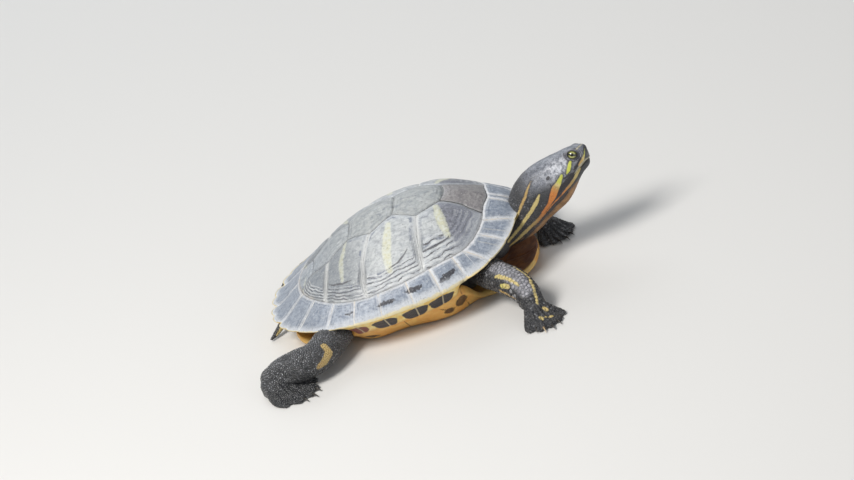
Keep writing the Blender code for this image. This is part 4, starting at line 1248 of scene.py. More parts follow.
shellMarks = {
    # plan places of each mark and its half width, the same on both sides
    "bars": [([(49.1, 19.8), (51.1, 30.5), (53.1, 39.4), (55.6, 47.0)], 3.4),
             ([(8.6, 25.3), (6.1, 39.4), (4.1, 49.2), (3.9, 56.9), (4.1, 63)], 3.6),
             ([(-31.1, 15), (-34.1, 25.3), (-36.9, 33.2), (-37.6, 45.2), (-38, 50)], 2.3),
             ([(-74, 8), (-77, 18), (-79, 28)], 1.4)],
    "arcs": [([(56.2, 46.5), (55.0, 49), (49.4, 51.9), (42.4, 54.9), (31.4, 56.9)], 0.75),
             ([(3.9, 61.4), (12.1, 59.6), (18.4, 55.4), (21.4, 52.4)], 0.7),
             ([(-53.1, 37.7), (-50, 44), (-47.1, 46.9), (-37.9, 52.4), (-26.4, 55.4)], 0.75),
             ([(-68, 22), (-74.4, 26), (-77, 34)], 0.6)],
    "edgeBlots": [([(41.1, 75.0), (47.6, 72.1), (54, 68.6)], 2.6),
                  ([(12.4, 77.8), (18.1, 77.3), (26, 76.3)], 2.2),
                  ([(-13, 79.4), (-6.1, 79.6), (2, 79.6)], 1.8), ([(-40, 74.6), (-33, 76)], 1.3)],
    # arc and size of the spots under the edge plates, and the arc of the red one
    "underBlots": [(114.5, 11), (138.5, 11), (166, 10.5), (91, 7.5), (190.6, 9), (216, 6.0)],
    "redArc": 190.6,
    # along the front bar, ahead of which the first side plate is dark
    "frontBar": [(49, 15), (50, 19.8), (52, 30.5), (54.5, 39.4), (58, 47), (60, 52)],
}


def markCarapace(obj, arcs, shares, under):
    points = getPoints(obj)
    plan = folded(points)
    for name in ("bars", "arcs", "edgeBlots"):
        nearest = np.full(len(points), outside)
        for path, half in shellMarks[name]:
            away, along = pathDistance(plan, onDome(path))
            wide = half * (0.72 + 0.5 * np.sin(math.pi * np.clip(along, 0.02, 0.98)))
            nearest = np.maximum(nearest, wide - away)
        setFields(obj, **{name: np.where(under, outside, nearest)})
    across = (shares - 0.94) * 150
    spots = [size - np.hypot((arcs - arc - 1.5) * (1 - 0.25 * fade(0, 5, across)), across * 1.45)
             for arc, size in shellMarks["underBlots"]]
    setFields(obj, underBlots=np.where(under, np.maximum(np.maximum.reduce(spots), outside), outside),
              red=under * bump(shellMarks["redArc"], 10, arcs),
              ahead=points[:, 0] - onPath(shellMarks["frontBar"], plan[:, 1]))


markCarapace(carapace, shellArcs, shellShares, shellUnder)

hornColours = {
    "roof": ((0.31, 0.335, 0.345), (0.50, 0.515, 0.50), 5, 0.3, 0.66, 6),
    # rear and edge are bluer partly in the horn's own colour and partly from a painted sky reflection
    "rear": ((0.25, 0.285, 0.33), (0.41, 0.445, 0.485), 4.5, 0.3, 0.66, 6),
    "sides": ((0.34, 0.365, 0.405), (0.56, 0.585, 0.60), 4.5, 0.3, 0.66, 6),
    "edge": ((0.20, 0.235, 0.30), (0.44, 0.485, 0.56), 3.6, 0.28, 0.68, 6), "edgeFront": (0.66, 0.69, 0.73),
    "paleStreak": (0.66, 0.68, 0.69), "darkStreak": (0.15, 0.165, 0.20), "dull": (0.15, 0.165, 0.185),
    "firstPlate": ((0.46, 0.475, 0.455), (0.60, 0.61, 0.585), 3, 0.35, 0.65, 5),
    "bluePatch": (0.17, 0.195, 0.25),
    "darkFront": ((0.10, 0.105, 0.135), (0.24, 0.245, 0.29), 2.6, 0.3, 0.72, 6),
    "lowFront": (0.22, 0.235, 0.285),
    "paleRing": (0.68, 0.69, 0.69), "thinRing": (0.70, 0.71, 0.71), "darkRing": (0.075, 0.075, 0.085),
    "edgeRing": (0.64, 0.66, 0.69),
    "frontRoof": ((0.185, 0.17, 0.18), (0.34, 0.32, 0.315), 3.2, 0.28, 0.72, 6),
    "frontRoofEdge": (0.045, 0.042, 0.042),
    "bar": ((0.70, 0.68, 0.42), (0.70, 0.71, 0.58), 3, 0.35, 0.6, 4), "arc": (0.09, 0.09, 0.10),
    "sideSeam": (0.69, 0.70, 0.69), "border": (0.66, 0.665, 0.66), "borderRear": (0.52, 0.46, 0.39),
    "plateBorder": (0.72, 0.73, 0.75),
    "plateHeart": ((0.13, 0.165, 0.235), (0.34, 0.39, 0.47), 2.4, 0.3, 0.7, 5),
    "blot": (0.03, 0.029, 0.038), "rimWear": (0.62, 0.65, 0.69), "edgeSeam": (0.68, 0.62, 0.54),
    "edgeSeamRear": (0.74, 0.73, 0.69),
    "edgeBar": (0.74, 0.70, 0.60), "crack": (0.115, 0.11, 0.11), "speck": (0.76, 0.77, 0.77),
    "dirt": (0.11, 0.115, 0.125),
    "fineSpeck": (0.74, 0.74, 0.72), "rim": (0.78, 0.66, 0.36),
    "under": ((0.83, 0.55, 0.14), (0.86, 0.70, 0.30), 6, 0.4, 0.62, 4), "underInner": (0.62, 0.31, 0.075),
    "spot": (0.022, 0.02, 0.024), "redSpot": (0.20, 0.05, 0.035), "underSeam": (0.58, 0.50, 0.33),
}


def hornPaint():
    paint = Paint("shellHorn", hornColours, specular=0.5, coat=0.12, coatRoughness=0.32)
    x = paint.along("X")  # metres
    ring, share, under, plateOne, ahead = paint.fields("ring", "share", "under", "plateOne", "ahead")
    rough, grain, patch = paint.noise(1.5, 4, 0.7), paint.noise(0.5, 2, 0.6), paint.noise(13, 4)
    streaks = paint.noise(3.2, 5, 0.65, (0.55, 1.5, 1.5))
    jagged = (paint.noise(2.6) - 0.5) * 1.5
    seams = paint.fields("seamBorder", "seamMiddle", "seamCross", "seamSide")
    border, middle, cross, sideways = (seam + jagged for seam in seams)
    edges = paint.fields("seamEdge")[0] + jagged * 0.6
    onEdge = border.step(0.05, -0.05)
    onMiddle = middle.step(-0.05, 0.05) * (1.0 - onEdge)
    onSide = middle.step(0.05, -0.05) * (1.0 - onEdge)
    # dusty blue-grey horn, browner on the roof; bluer behind and round the edge, partly the horn's own
    # colour and partly a painted sky reflection
    paint.colour = paint.pick("roof")
    paint.over(x.step(-0.01, -0.085), "rear")
    paint.over(onSide * x.step(-0.06, -0.015), "sides")
    paint.over(onEdge, "edge")
    paint.over(onEdge * x.step(0.02, 0.06) * 0.25, "edgeFront")
    # long streaks of wear
    paint.over(streaks.step(0.53, 0.68) * 0.52, "paleStreak")
    paint.over(streaks.step(0.47, 0.34) * 0.55, "darkStreak")
    # duller along the roof and towards the back
    dull = onSide * x.step(0.0, -0.035) * 0.56 + onMiddle * 0.24
    paint.over(dull + onEdge * x.step(-0.04, -0.085) * 0.42, "dull")
    # the pale first plate of each side plate, and broken dark blue patches round it
    paint.over(onSide * (ring + patch * 0.3).step(0.98, 1.2) * 0.34 * x.step(-0.045, -0.01), "firstPlate")
    zone = onSide * (ring.step(1.0, 0.9) * ring.step(0.45, 0.7))
    paint.over(zone * paint.noise(5, 4).step(0.5, 0.64) * 0.85, "bluePatch")
    # dark front of the first side plate, dull blue-grey lower down
    front = plateOne * (onSide * ahead.step(-1.0, 1.8)) * (ring + paint.noise(6) * 0.25).step(0.26, 0.56)
    paint.over(front * 0.9, "darkFront")
    lowFront = plateOne * (onSide * ahead.step(-12.0, 2.0))
    paint.over(lowFront * (ring + patch * 0.3).step(1.05, 0.7) * 0.5, "lowFront")
    # rings of growth as fine pale and dark lines, strongest along the lower edges of the side plates
    bent = ring + paint.noise(10, 4, 0.6) * 0.26
    lines = (bent * 33.0).wave()
    thin = (bent * 52.0 + paint.noise(7) * 9.0).wave()
    strong = ring.step(0.97, 0.86) * onSide * (share.step(0.46, 0.70) * 0.85 + 0.15)
    strong = strong * (1.0 - plateOne * ahead.step(-6.0, 4.0) * 0.6)
    come = paint.noise(15, 4, 0.6).step(0.36, 0.62)
    paint.over(lines.step(0.1, 1.0) * strong * (come * 0.52 + 0.16), "paleRing")
    paint.over(thin.step(0.1, 1.0) * strong * (come * 0.34), "thinRing")
    broken = strong * paint.noise(9, 4, 0.6).step(0.36, 0.54)
    paint.over(lines.step(-0.60, -0.93) * broken * 0.95, "darkRing")
    fainter = ring.step(0.97, 0.8) * onMiddle * 0.14 + ring.step(1.1, 0.7) * onEdge * 0.30
    edgeWave = (ring * 17.0 + paint.noise(7) * 7.0).wave()
    paint.over(edgeWave.step(0.0, 1.0) * fainter, "edgeRing")
    paint.over(edgeWave.step(-0.4, -1.0) * (fainter * 0.8), "darkStreak")
    # front roof plate, brown-purple, and then the bars and arcs
    firstMiddle, bars, arcs, blots, spots = paint.fields("firstMiddle", "bars", "arcs", "edgeBlots",
                                                         "underBlots")
    paint.over(firstMiddle.step(0.2, 1.6) * 0.92, "frontRoof")
    bars = (bars + paint.noise(3, 4, 0.65) * 4.2).step(1.5, 3.4)
    paint.over(bars * (x.step(-0.045, -0.01) * 0.2 + 0.42), "bar")
    arcs = (arcs + paint.noise(3) * 1.1).step(0.35, 0.85)
    paint.over(arcs * 0.85, "arc")
    # seams: pale worn borders with a fine dark line in them
    paint.over((abs(sideways) + streaks * 1.6).step(4.2, 1.4) * onSide * 0.75, "sideSeam")
    paint.over((abs(border) + streaks * 1.4).step(3.2, 1.1) * (patch.step(0.4, 0.6) + 0.3) * 0.5,
               paint.mix(x.step(-0.05, -0.075), "border", "borderRear"))
    # each edge plate has a dark blue-grey heart in a pale soft border
    inside = (abs(edges).least(abs(border).least((1.0 - share) * 80.0))
              + (paint.noise(4, 4, 0.6) - 0.5) * 3.6)
    forward = x.step(-0.03, 0.035)
    paint.over(inside.step(2.6, 0.8) * onEdge * (forward * 0.5 + 0.34), "plateBorder")
    paint.over(inside.step(2.2, 4.0) * onEdge * (forward * 0.38 + 0.34), "plateHeart")
    paint.over((blots + paint.noise(2.6, 4, 0.65) * 5.0).step(2.4, 3.4) * 0.94, "blot")
    # a pale band along the outer margin of the edge plates, partly their own pale border and partly a
    # painted sheen
    paint.over((share + paint.noise(9, 4, 0.6) * 0.05).step(0.975, 1.01) * onEdge * 0.5, "rimWear")
    paint.over(abs(edges).step(0.6, 0.25) * onEdge * paint.noise(8).step(0.25, 0.6),
               paint.mix(x.step(-0.02, -0.06), "edgeSeam", "edgeSeamRear"))
    edgeBar = paint.fields("edgeBar")[0] + paint.noise(2) * 0.9
    paint.over(edgeBar.step(1.35, 0.75) * 0.25, "edgeBar")
    fine = paint.noise(7).step(0.3, 0.6) * (x.step(0.0, 0.045) * 0.6 + 0.4)
    crack = (abs(middle).step(0.5, 0.15) * (1.0 - onEdge)).most(
        (abs(cross).step(0.5, 0.15) * onMiddle).most(abs(sideways).step(0.42, 0.12) * onSide * 0.45))
    crack = crack.most(abs(border).step(0.55, 0.2) * (x.step(-0.05, -0.075) * 0.35 + 0.55))
    paint.over(crack * fine * 0.85, "crack")
    paint.over(firstMiddle.step(-0.3, 0.0) * firstMiddle.step(1.2, 0.3) * 0.9, "frontRoofEdge")
    # fine wear: specks of bare horn, dirt in the low places
    paint.over(rough.step(0.56, 0.74) * 0.6, "speck")
    paint.over(rough.step(0.44, 0.28) * 0.62, "dirt")
    paint.over(grain.step(0.58, 0.8) * 0.25, "fineSpeck")
    # yellow rim and the warm underside with its dark spots
    paint.over((share + paint.noise(4) * 0.012).step(0.997, 1.003) * 0.85, "rim")
    paint.over(under.step(0.4, 0.6), paint.mix(share.step(0.93, 0.89), "under", "underInner"))
    red = paint.fields("red")[0]
    paint.over((spots + paint.noise(4) * 2.4).step(1.0, 1.9),
               paint.mix(red.step(0.3, 0.7), "spot", "redSpot"))
    paint.over(under.step(0.4, 0.6) * abs(edges).step(0.8, 0.4) * 0.75, "underSeam")
    paint.rough = patch * 0.34 + 0.26
    paint.raiseBy(lines * strong * 0.20, thin * strong * 0.07, edgeWave * fainter * 0.3, streaks * 0.30,
                  rough * 0.36,
                  grain * 0.10, paint.noise(4.5, 4) * 0.5, crack * -0.5, arcs * -0.4)
    return paint.finish()


keepInside(carapace)
addPiece(carapace, hornPaint(), "shell_horn", "carapace")


plastronPlan = {
    "rear": -97, "front": 111, "stations": 190, "sides": 220, "notch": 11.0, "seamDepth": 0.35,
    "half": [(-97, 17), (-92, 31), (-80, 41), (-60, 46), (-44, 48), (-36, 56), (0, 57.5), (46, 55),
             (56, 46), (75, 42), (95, 33), (105, 26), (111, 17)],
    "lift": [(-97, 3), (-82, 0.6), (-72, 0), (-62, 0), (68, 0), (78, 0), (92, 1.4), (104, 3.6), (111, 6)],
    # where its plates meet along the middle, with the place each seam reaches at the side
    "cross": [((-64, 0), (-73, 46)), ((-30, 0), (-44, 50)), ((6, 0), (2, 60)), ((44, 0), (52, 52)),
              ((82, 0), (92, 34))],
    # dark figures below: place, size and turn; spots and curved lines up the bridge
    "figures": [(96, 14, 9, 6, 20), (68, 22, 12, 8, -15), (28, 26, 13, 11, 0), (-12, 27, 13, 11, 10),
                (-52, 24, 11, 10, 15), (-80, 18, 7, 7, 0)],
    "bridgeSpots": [((50, 62, 12), (7, 7, 8)), ((38, 64, 9), (6, 6, 4)), ((-28, 62, 8), (7, 6, 4))],
    "bridgeLines": [[(56, 50, 4), (50, 60, 9), (44, 70, 17)],
                    [(46, 50, 4), (41, 58, 7), (34, 66, 13), (28, 72, 19)],
                    [(30, 58, 4), (12, 61, 8), (-6, 64, 11), (-24, 62, 9)],
                    [(60, 46, 4), (58, 52, 8), (54, 58, 13)]],
}


def plastronSection(x, steps):
    # half of a section from the middle underneath, out to the edge and back over the top
    width = float(smoothTable(plastronPlan["half"], x))
    if x > 99:  # the front lip is round
        width = min(width, 31.5 * math.sqrt(max(0.002, 1 - ((x - 99) / 12.2) ** 2)))
    lift = max(0.0, float(smoothTable(plastronPlan["lift"], x)))
    beside = float(besideBridge(x))
    outX = shellPlan["centre"] + (x - shellPlan["centre"]) / 0.885  # where the bridge meets the edge plates
    edgeY = width + beside * (0.885 * float(halfWidth(outX)) - width)
    edgeZ = lift + 2.4 + beside * (float(rimHeight(outX)) - 13.5 - lift - 2.4)
    knots = np.array([(0, lift), (0.45 * width, lift), (0.84 * width, lift), (0.97 * width, lift + 1.2),
                      (edgeY, edgeZ),
                      (edgeY - 0.8, edgeZ + 1 + 4 * beside),
                      (edgeY - 1.4 - 5 * beside, edgeZ + 2.2 + 3 * beside),
                      (0.92 * width, lift + 5.6), (0.5 * width, lift + 5), (0, lift + 5)])
    run = runLength(knots)
    made = np.stack([np.interp(np.linspace(0, 1, steps), run, knots[:, k]) for k in (0, 1)], 1)
    for _ in range(3):  # round the corners a little, but keep the flat underside
        made[1:-1] = made[1:-1] * 0.5 + (made[:-2] + made[2:]) * 0.25
    made[:, 1] = np.maximum(made[:, 1], lift)
    return made


def makePlastron():
    rings = []
    for x in np.linspace(plastronPlan["rear"], plastronPlan["front"], plastronPlan["stations"]):
        y, z = plastronSection(x, plastronPlan["sides"] // 2 + 1).T
        notch = plastronPlan["notch"] * float(fade(-70, -97, x)) * np.clip(1 - np.abs(y) / 22, 0, 1)
        right, left = (np.stack([x + notch, sign * y, z], 1) for sign in (-1, 1))
        rings.append(np.vstack([right, left[::-1][1:-1]]))
    points, faces = closeLoft(rings, rings[0].mean(axis=0), rings[-1].mean(axis=0))
    made = newPiece("plastronShell", points, faces)
    normals = getNormals(made)
    plan = folded(points)
    x, y = plan[:, 0], plan[:, 1]
    half = smoothTable(plastronPlan["half"], x)
    seam = np.abs(points[:, 1] + np.sin(x / 7) * 1.2 * (y < 30))
    for (innerX, innerY), (outerX, outerY) in plastronPlan["cross"]:
        path = [(innerX, innerY, 0), ((innerX * 0.6 + outerX * 0.4), outerY * 0.45, 0), (outerX, outerY, 0),
                (outerX, outerY + 14, 0)]
        seam = np.minimum(seam, awayFrom(plan * (1, 1, 0), path))
    seam = np.minimum(seam, np.abs(y - half * 0.965) + (np.abs(x - 4) > 46) * 40.0)
    lift = -plastronPlan["seamDepth"] * bump(0, 0.8, seam) + softNoise(points, 16, 21) * 0.06
    onGround = (points[:, 2] < 0.6) & (normals[:, 2] < -0.7)
    lift = np.where(onGround, -np.abs(lift) * 0.6, lift)
    points = points + normals * (lift * fade(-97, -95, x) * (1 - fade(109, 111, x)))[:, None]
    points[:, 2] = np.maximum(points[:, 2], 0.0)
    setPoints(made, points)
    figures = np.full(len(points), outside)
    for centreX, centreY, sizeX, sizeY, turn in plastronPlan["figures"]:
        c, s = math.cos(math.radians(turn)), math.sin(math.radians(turn))
        u, v = (x - centreX) * c + (y - centreY) * s, (y - centreY) * c - (x - centreX) * s
        figures = np.maximum(figures, (1 - np.hypot(u / sizeX, v / sizeY)) * min(sizeX, sizeY))
    spots = [(1 - np.linalg.norm((plan - centre) / size, axis=1)) * min(size)
             for centre, size in plastronPlan["bridgeSpots"]]
    lines = [0.8 - awayFrom(plan, path) for path in plastronPlan["bridgeLines"]]
    setFields(made, seam=seam, out=y / np.maximum(half, 1),
              figures=np.where(normals[:, 2] < -0.5, figures, outside),
              bridgeSpot=np.maximum(np.maximum.reduce(spots), outside),
              lines=np.maximum(np.maximum.reduce(lines), outside),
              front=points[:, 0] / 110, up=normals[:, 2])
    return made


plastronColours = {
    "ground": ((0.72, 0.36, 0.085), (0.80, 0.50, 0.15), 14, 0.36, 0.64, 4), "stain": (0.52, 0.24, 0.06),
    "figure": ((0.055, 0.035, 0.022), (0.13, 0.075, 0.035), 4),
    "spot": ((0.028, 0.018, 0.012), (0.10, 0.05, 0.02), 4), "line": (0.05, 0.024, 0.012),
    "lip": ((0.19, 0.05, 0.018), (0.34, 0.12, 0.04), 7, 0.35, 0.65), "rim": (0.72, 0.50, 0.17),
    "seam": (0.16, 0.06, 0.025), "paleSpeck": (0.86, 0.68, 0.38), "darkSpeck": (0.33, 0.15, 0.05),
}


def plastronPaint():
    paint = Paint("plastronHorn", plastronColours, roughness=0.42)
    seam, front, out, up, figures, spot, lines = paint.fields("seam", "front", "out", "up", "figures",
                                                              "bridgeSpot", "lines")
    fine = paint.noise(0.9, 4, 0.65)
    paint.colour = paint.pick("ground")
    paint.over(paint.noise(5, 4).step(0.5, 0.75) * 0.35, "stain")
    paint.over((figures + paint.noise(6, 4) * 4.0).step(1.6, 3.0) * 0.85, "figure")
    paint.over((spot + paint.noise(4, 4) * 3.4).step(1.7, 2.9) * 0.92, "spot")
    paint.over((lines + paint.noise(4) * 0.9).step(0.35, 0.8) * 0.85, "line")
    # red-brown upper face of the front lip, with a yellow edge
    paint.over(front.step(0.60, 0.72) * up.step(0.15, 0.5) * 0.95, "lip")
    paint.over(front.step(0.5, 0.6) * out.step(0.86, 0.95) * 0.85, "rim")
    paint.over((seam + paint.noise(3)).step(1.25, 0.75) * 0.7, "seam")
    paint.over(fine.step(0.56, 0.78) * 0.25, "paleSpeck")
    paint.over(fine.step(0.42, 0.25) * 0.25, "darkSpeck")
    paint.rough = paint.noise(9) * 0.25 + 0.3
    paint.raiseBy(fine * 0.12, paint.noise(5) * 0.35)
    return paint.finish()


plastron = makePlastron()
addPiece(plastron, plastronPaint(), "plastron_horn", "plastron")
print("plastron:", triangleCount(plastron), "triangles")


eyePlan = {"spokes": 72, "rings": 44, "pupil": 1.15, "iris": 4.25, "bar": 0.72, "cornea": 0.22,
           "rimSize": 0.27,
           "rimSteps": 96, "rimSides": 10}
eyeColours = {
    "iris": (0.17, 0.17, 0.03), "irisRay": (0.30, 0.31, 0.06), "outerIris": (0.12, 0.12, 0.022),
    "outerRay": (0.22, 0.23, 0.05), "ring": (0.46, 0.46, 0.16), "bar": (0.014, 0.013, 0.010),
    "shade": (0.035, 0.036, 0.012), "pupil": (0.003, 0.003, 0.003), "white": (0.022, 0.02, 0.018),
}


def makeEye(side):
    flip = np.array((1, side, 1))
    cosine, sine = circle(eyePlan["spokes"])
    tilts = np.linspace(0.02, math.pi - 0.06, eyePlan["rings"])
    out = np.outer(cosine, lidLong) + np.outer(sine, lidShort)
    rings = []
    for tilt in tilts:
        size = eyeRadius + eyePlan["cornea"] * float(bump(0, 0.62, tilt))
        rings.append(fromHead((eyeCentre + gaze * math.cos(tilt) * size + out * math.sin(tilt) * size)
                              * flip))
    front = fromHead([(eyeCentre + gaze * (eyeRadius + eyePlan["cornea"])) * flip])[0]
    back = fromHead([(eyeCentre - gaze * eyeRadius) * flip])[0]
    points, faces = closeLoft(rings, front, back)
    # the moist dark edge of the lids, a thin closed ring on the ball
    rim, start, steps, around = [], len(points), eyePlan["rimSteps"], eyePlan["rimSides"]
    thickC, thickS = circle(around)
    for c, s in zip(*circle(steps)):
        flat = lidLong * c * facePlan["openLong"] + lidShort * s * facePlan["openShort"]
        reach = np.linalg.norm(flat)
        middle = eyeCentre + flat + gaze * math.sqrt(max(0.1, (eyeRadius + 0.12) ** 2 - reach**2))
        rim.append(fromHead((middle + (np.outer(thickC, flat / reach) + np.outer(thickS, gaze))
                             * eyePlan["rimSize"]) * flip))
    for row in range(steps):
        this, after = start + row * around, start + (row + 1) % steps * around
        faces += [(this + k, after + k, after + (k + 1) % around, this + (k + 1) % around)
                  for k in range(around)]
    eye = newPiece("eyeBall" + ("Left" if side > 0 else "Right"), np.vstack([points, *rim]), faces)
    away = np.repeat(tilts * eyeRadius, len(cosine))
    edge = np.zeros(steps * around)
    setFields(eye, radius=[0, *away, 12, *(edge + 9)],
              long=[0, *(np.tile(cosine, len(tilts)) * away), 0, *edge],
              short=[0, *(np.tile(sine, len(tilts)) * away), 0, *edge])
    return eye


def eyePaint():
    paint = Paint("eyeGlass", eyeColours, roughness=0.12, specular=0.5, coat=1.0, coatRoughness=0.03)
    radius, short, long = paint.fields("radius", "short", "long")
    streak = paint.noise(0.5)
    rays = (paint.maths("ARCTAN2", short, long) * 23.0 + streak * 9.0).wave()
    paint.colour = paint.mix(rays.step(-0.6, 0.9), "iris", "irisRay")
    paint.over((radius + streak).step(2.5, 3.1), paint.mix(rays.step(-0.4, 0.9), "outerIris", "outerRay"))
    paint.over(radius.step(1.4, 1.7) * radius.step(3.1, 2.2) * 0.75, "ring")
    bar = abs(short) + (streak - 0.5) * 0.5
    paint.over(bar.step(eyePlan["bar"] + 0.28, eyePlan["bar"] - 0.1) * 0.97, "bar")
    paint.over((radius + streak * 0.6).step(3.4, 4.3) * 0.7, "shade")
    paint.over(radius.step(eyePlan["pupil"] + 0.14, eyePlan["pupil"]), "pupil")
    paint.over(radius.step(eyePlan["iris"] - 0.35, eyePlan["iris"] + 0.1), "white")
    return paint.finish()


eyeGlass = eyePaint()
for side, word in ((1, "left"), (-1, "right")):
    addPiece(makeEye(side), eyeGlass, "eye", "eye_" + word)
print("eyes are in")


clawPlan = {"length": 7.3, "radius": 1.22, "back": 2.2, "rings": 22, "sides": 18, "paleHand": "handRight",
            "paleClaw": 3,
            "dark": ((0.02, 0.018, 0.016), (0.055, 0.045, 0.035)),
            "pale": ((0.28, 0.19, 0.10), (0.46, 0.36, 0.22))}


def makeClaw(plan, number, name):
    heel, ray, length = digitRay(plan, number)
    start = heel + ray * (length - clawPlan["back"])
    side = np.array((-ray[1], ray[0], 0.0))
    rings = []
    cosine, sine = circle(clawPlan["sides"])
    for s in np.linspace(0.0, 0.985, clawPlan["rings"]):
        centre = np.array((*(start + ray * clawPlan["length"] * s), 2.35 + 0.9 * math.sin(math.pi * s)
                           - 1.75 * s * s))
        size = clawPlan["radius"] * (1 - s) ** 0.62 * (0.9 + 0.1 * math.cos(3 * s))
        # taller than wide, sharp along the back, hollow below
        ring = (centre + np.outer(cosine * size * 0.86, side)
                + np.outer(sine * size * np.where(sine > 0, 1.12, 0.72), (0, 0, 1)))
        ring[:, 2] = np.maximum(ring[:, 2], 0.06)
        rings.append(ring)
    tip = np.array((*(start + ray * clawPlan["length"]), 0.62))
    claw = newPiece(name, *closeLoft(rings, rings[0].mean(axis=0), tip))
    setFields(claw, tip=[0, *np.repeat(np.linspace(0, 1, clawPlan["rings"]), clawPlan["sides"]), 1])
    return claw


def clawPaint(name, root, tip):
    paint = Paint(name, {"root": (root, tuple(c * 1.6 for c in root), 1.1), "tip": tip}, roughness=0.3,
                  specular=0.5)
    along = paint.fields("tip")[0] + (paint.noise(1.2) - 0.5) * 0.5
    paint.colour = paint.mix(along.step(0.15, 0.95), "root", "tip")
    fine = paint.noise(0.35, 3, 0.6)
    paint.rough = fine * 0.25 + 0.2
    paint.raiseBy(fine * 0.06)
    return paint.finish()


darkClaw, paleClaw = clawPaint("darkClaw", *clawPlan["dark"]), clawPaint("paleClaw", *clawPlan["pale"])
for name, plan in footPlan.items():
    limb, word = ("fore" if "hand" in name else "hind"), ("right" if "Right" in name else "left")
    for number in range(plan["claws"]):
        end = word + "_" + str(number + 1)
        paleOne = (name, number) == (clawPlan["paleHand"], clawPlan["paleClaw"])
        claw = makeClaw(plan, number, "claw_" + limb + "_" + end)
        addPiece(claw, paleClaw if paleOne else darkClaw, "claw_horn", limb + "_claw_" + end)
print("claws are on")


armScales = {"from": 0.16, "reach": 30, "sizes": (2.3, 3.2, 1.8), "rise": 0.34, "tilt": 0.14,
             "look": "armScale"}
legScales = {"from": 0.12, "reach": 34, "sizes": (1.8, 1.85, 1.6), "rise": 0.55, "tilt": 0.05,
             "look": "legScale"}
scalePlan = {
    "sides": 8, "gap": 0.9, "bury": 0.3, "samples": 13, "relax": 2, "spacing": 0.86, "patch": 0.0015,
    "mapEdge": 0.03,
    # each limb's line and foot, and the seed of its scales; size is at the line's start, middle and end
    "limbs": {
        "foreScalesRight": {**armScales, "stations": "foreRight", "foot": "handRight", "seed": 11},
        "foreScalesLeft": {**armScales, "stations": "foreLeft", "foot": "handLeft", "seed": 12},
        "hindScalesRight": {**legScales, "stations": "hindRight", "foot": "footRight", "seed": 13},
        "hindScalesLeft": {**legScales, "stations": "hindLeft", "foot": "footLeft", "seed": 14},
        "neckScales": {"stations": "neck", "foot": None, "from": 0.0, "reach": 34, "sizes": (1.5, 1.4, 1.3),
                       "rise": 0.2, "tilt": 0.02, "seed": 15, "look": "neckScale"},
        "tailScales": {"stations": "tail", "foot": None, "from": 0.3, "reach": 14, "sizes": (1.9, 1.7, 1.4),
                       "rise": 0.3, "tilt": 0.12, "seed": 16, "look": "legScale"},
    },
}


def limbLine(plan):
    line = [station[0] for station in skinPlan[plan["stations"]]]
    if plan["foot"]:
        foot = footPlan[plan["foot"]]
        heading = math.radians(foot["heading"])
        for step in (0.3, 0.6, 0.95):
            line.append((foot["heel"][0] + math.cos(heading) * foot["length"] * step,
                         foot["heel"][1] + math.sin(heading) * foot["length"] * step, 4))
    return np.array(line, float)


def onLine(line, share):
    run = runLength(line)
    return np.stack([np.interp(share, run, line[:, k]) for k in range(3)], 1)


def skinTriangles(obj):
    obj.data.calc_loop_triangles()
    found = np.empty(len(obj.data.loop_triangles) * 3, np.int32)
    obj.data.loop_triangles.foreach_get("vertices", found)
    return found.reshape(-1, 3)


def treeOf(seeds):
    tree = KDTree(len(seeds))
    for index, place in enumerate(seeds):
        tree.insert(place, index)
    tree.balance()
    return tree


def scaleSizes(plan, along, places):
    return np.interp(along, (0.1, 0.5, 0.9), plan["sizes"]) * (1 + 0.2 * softNoise(places, 9, plan["seed"]))


def onLimb(plan, line, centres, facing):
    # the part of the skin this limb's scales grow on: not under the shell, not on the floor
    away, along = pathDistance(centres, line)
    onFloor = (centres[:, 2] < 0.9) & (facing[:, 2] < -0.5)
    keep = (along > plan["from"]) & (away < plan["reach"]) & ~onFloor
    x, y, z = centres.T
    if plan["stations"] == "neck":
        return keep & (toHead(centres)[:, 0] < -41) & (x > 84) & (z > 30) & (np.abs(y + 3) < 24)
    if plan["stations"] == "tail":
        return keep & (np.abs(y - np.interp(-x, [80, 103, 119], [0, -1, -12])) < 9) & (x < -84)
    keep &= (np.hypot((x + 2) / 78, y / 52) > 1) & ((np.abs(y) > 30) | (np.abs(x) > 98))
    if "hand" in plan["foot"]:
        return keep & (x > 60) & ~((z > 30) & (np.abs(y + 3) < 26))
    return keep & (x < -40)


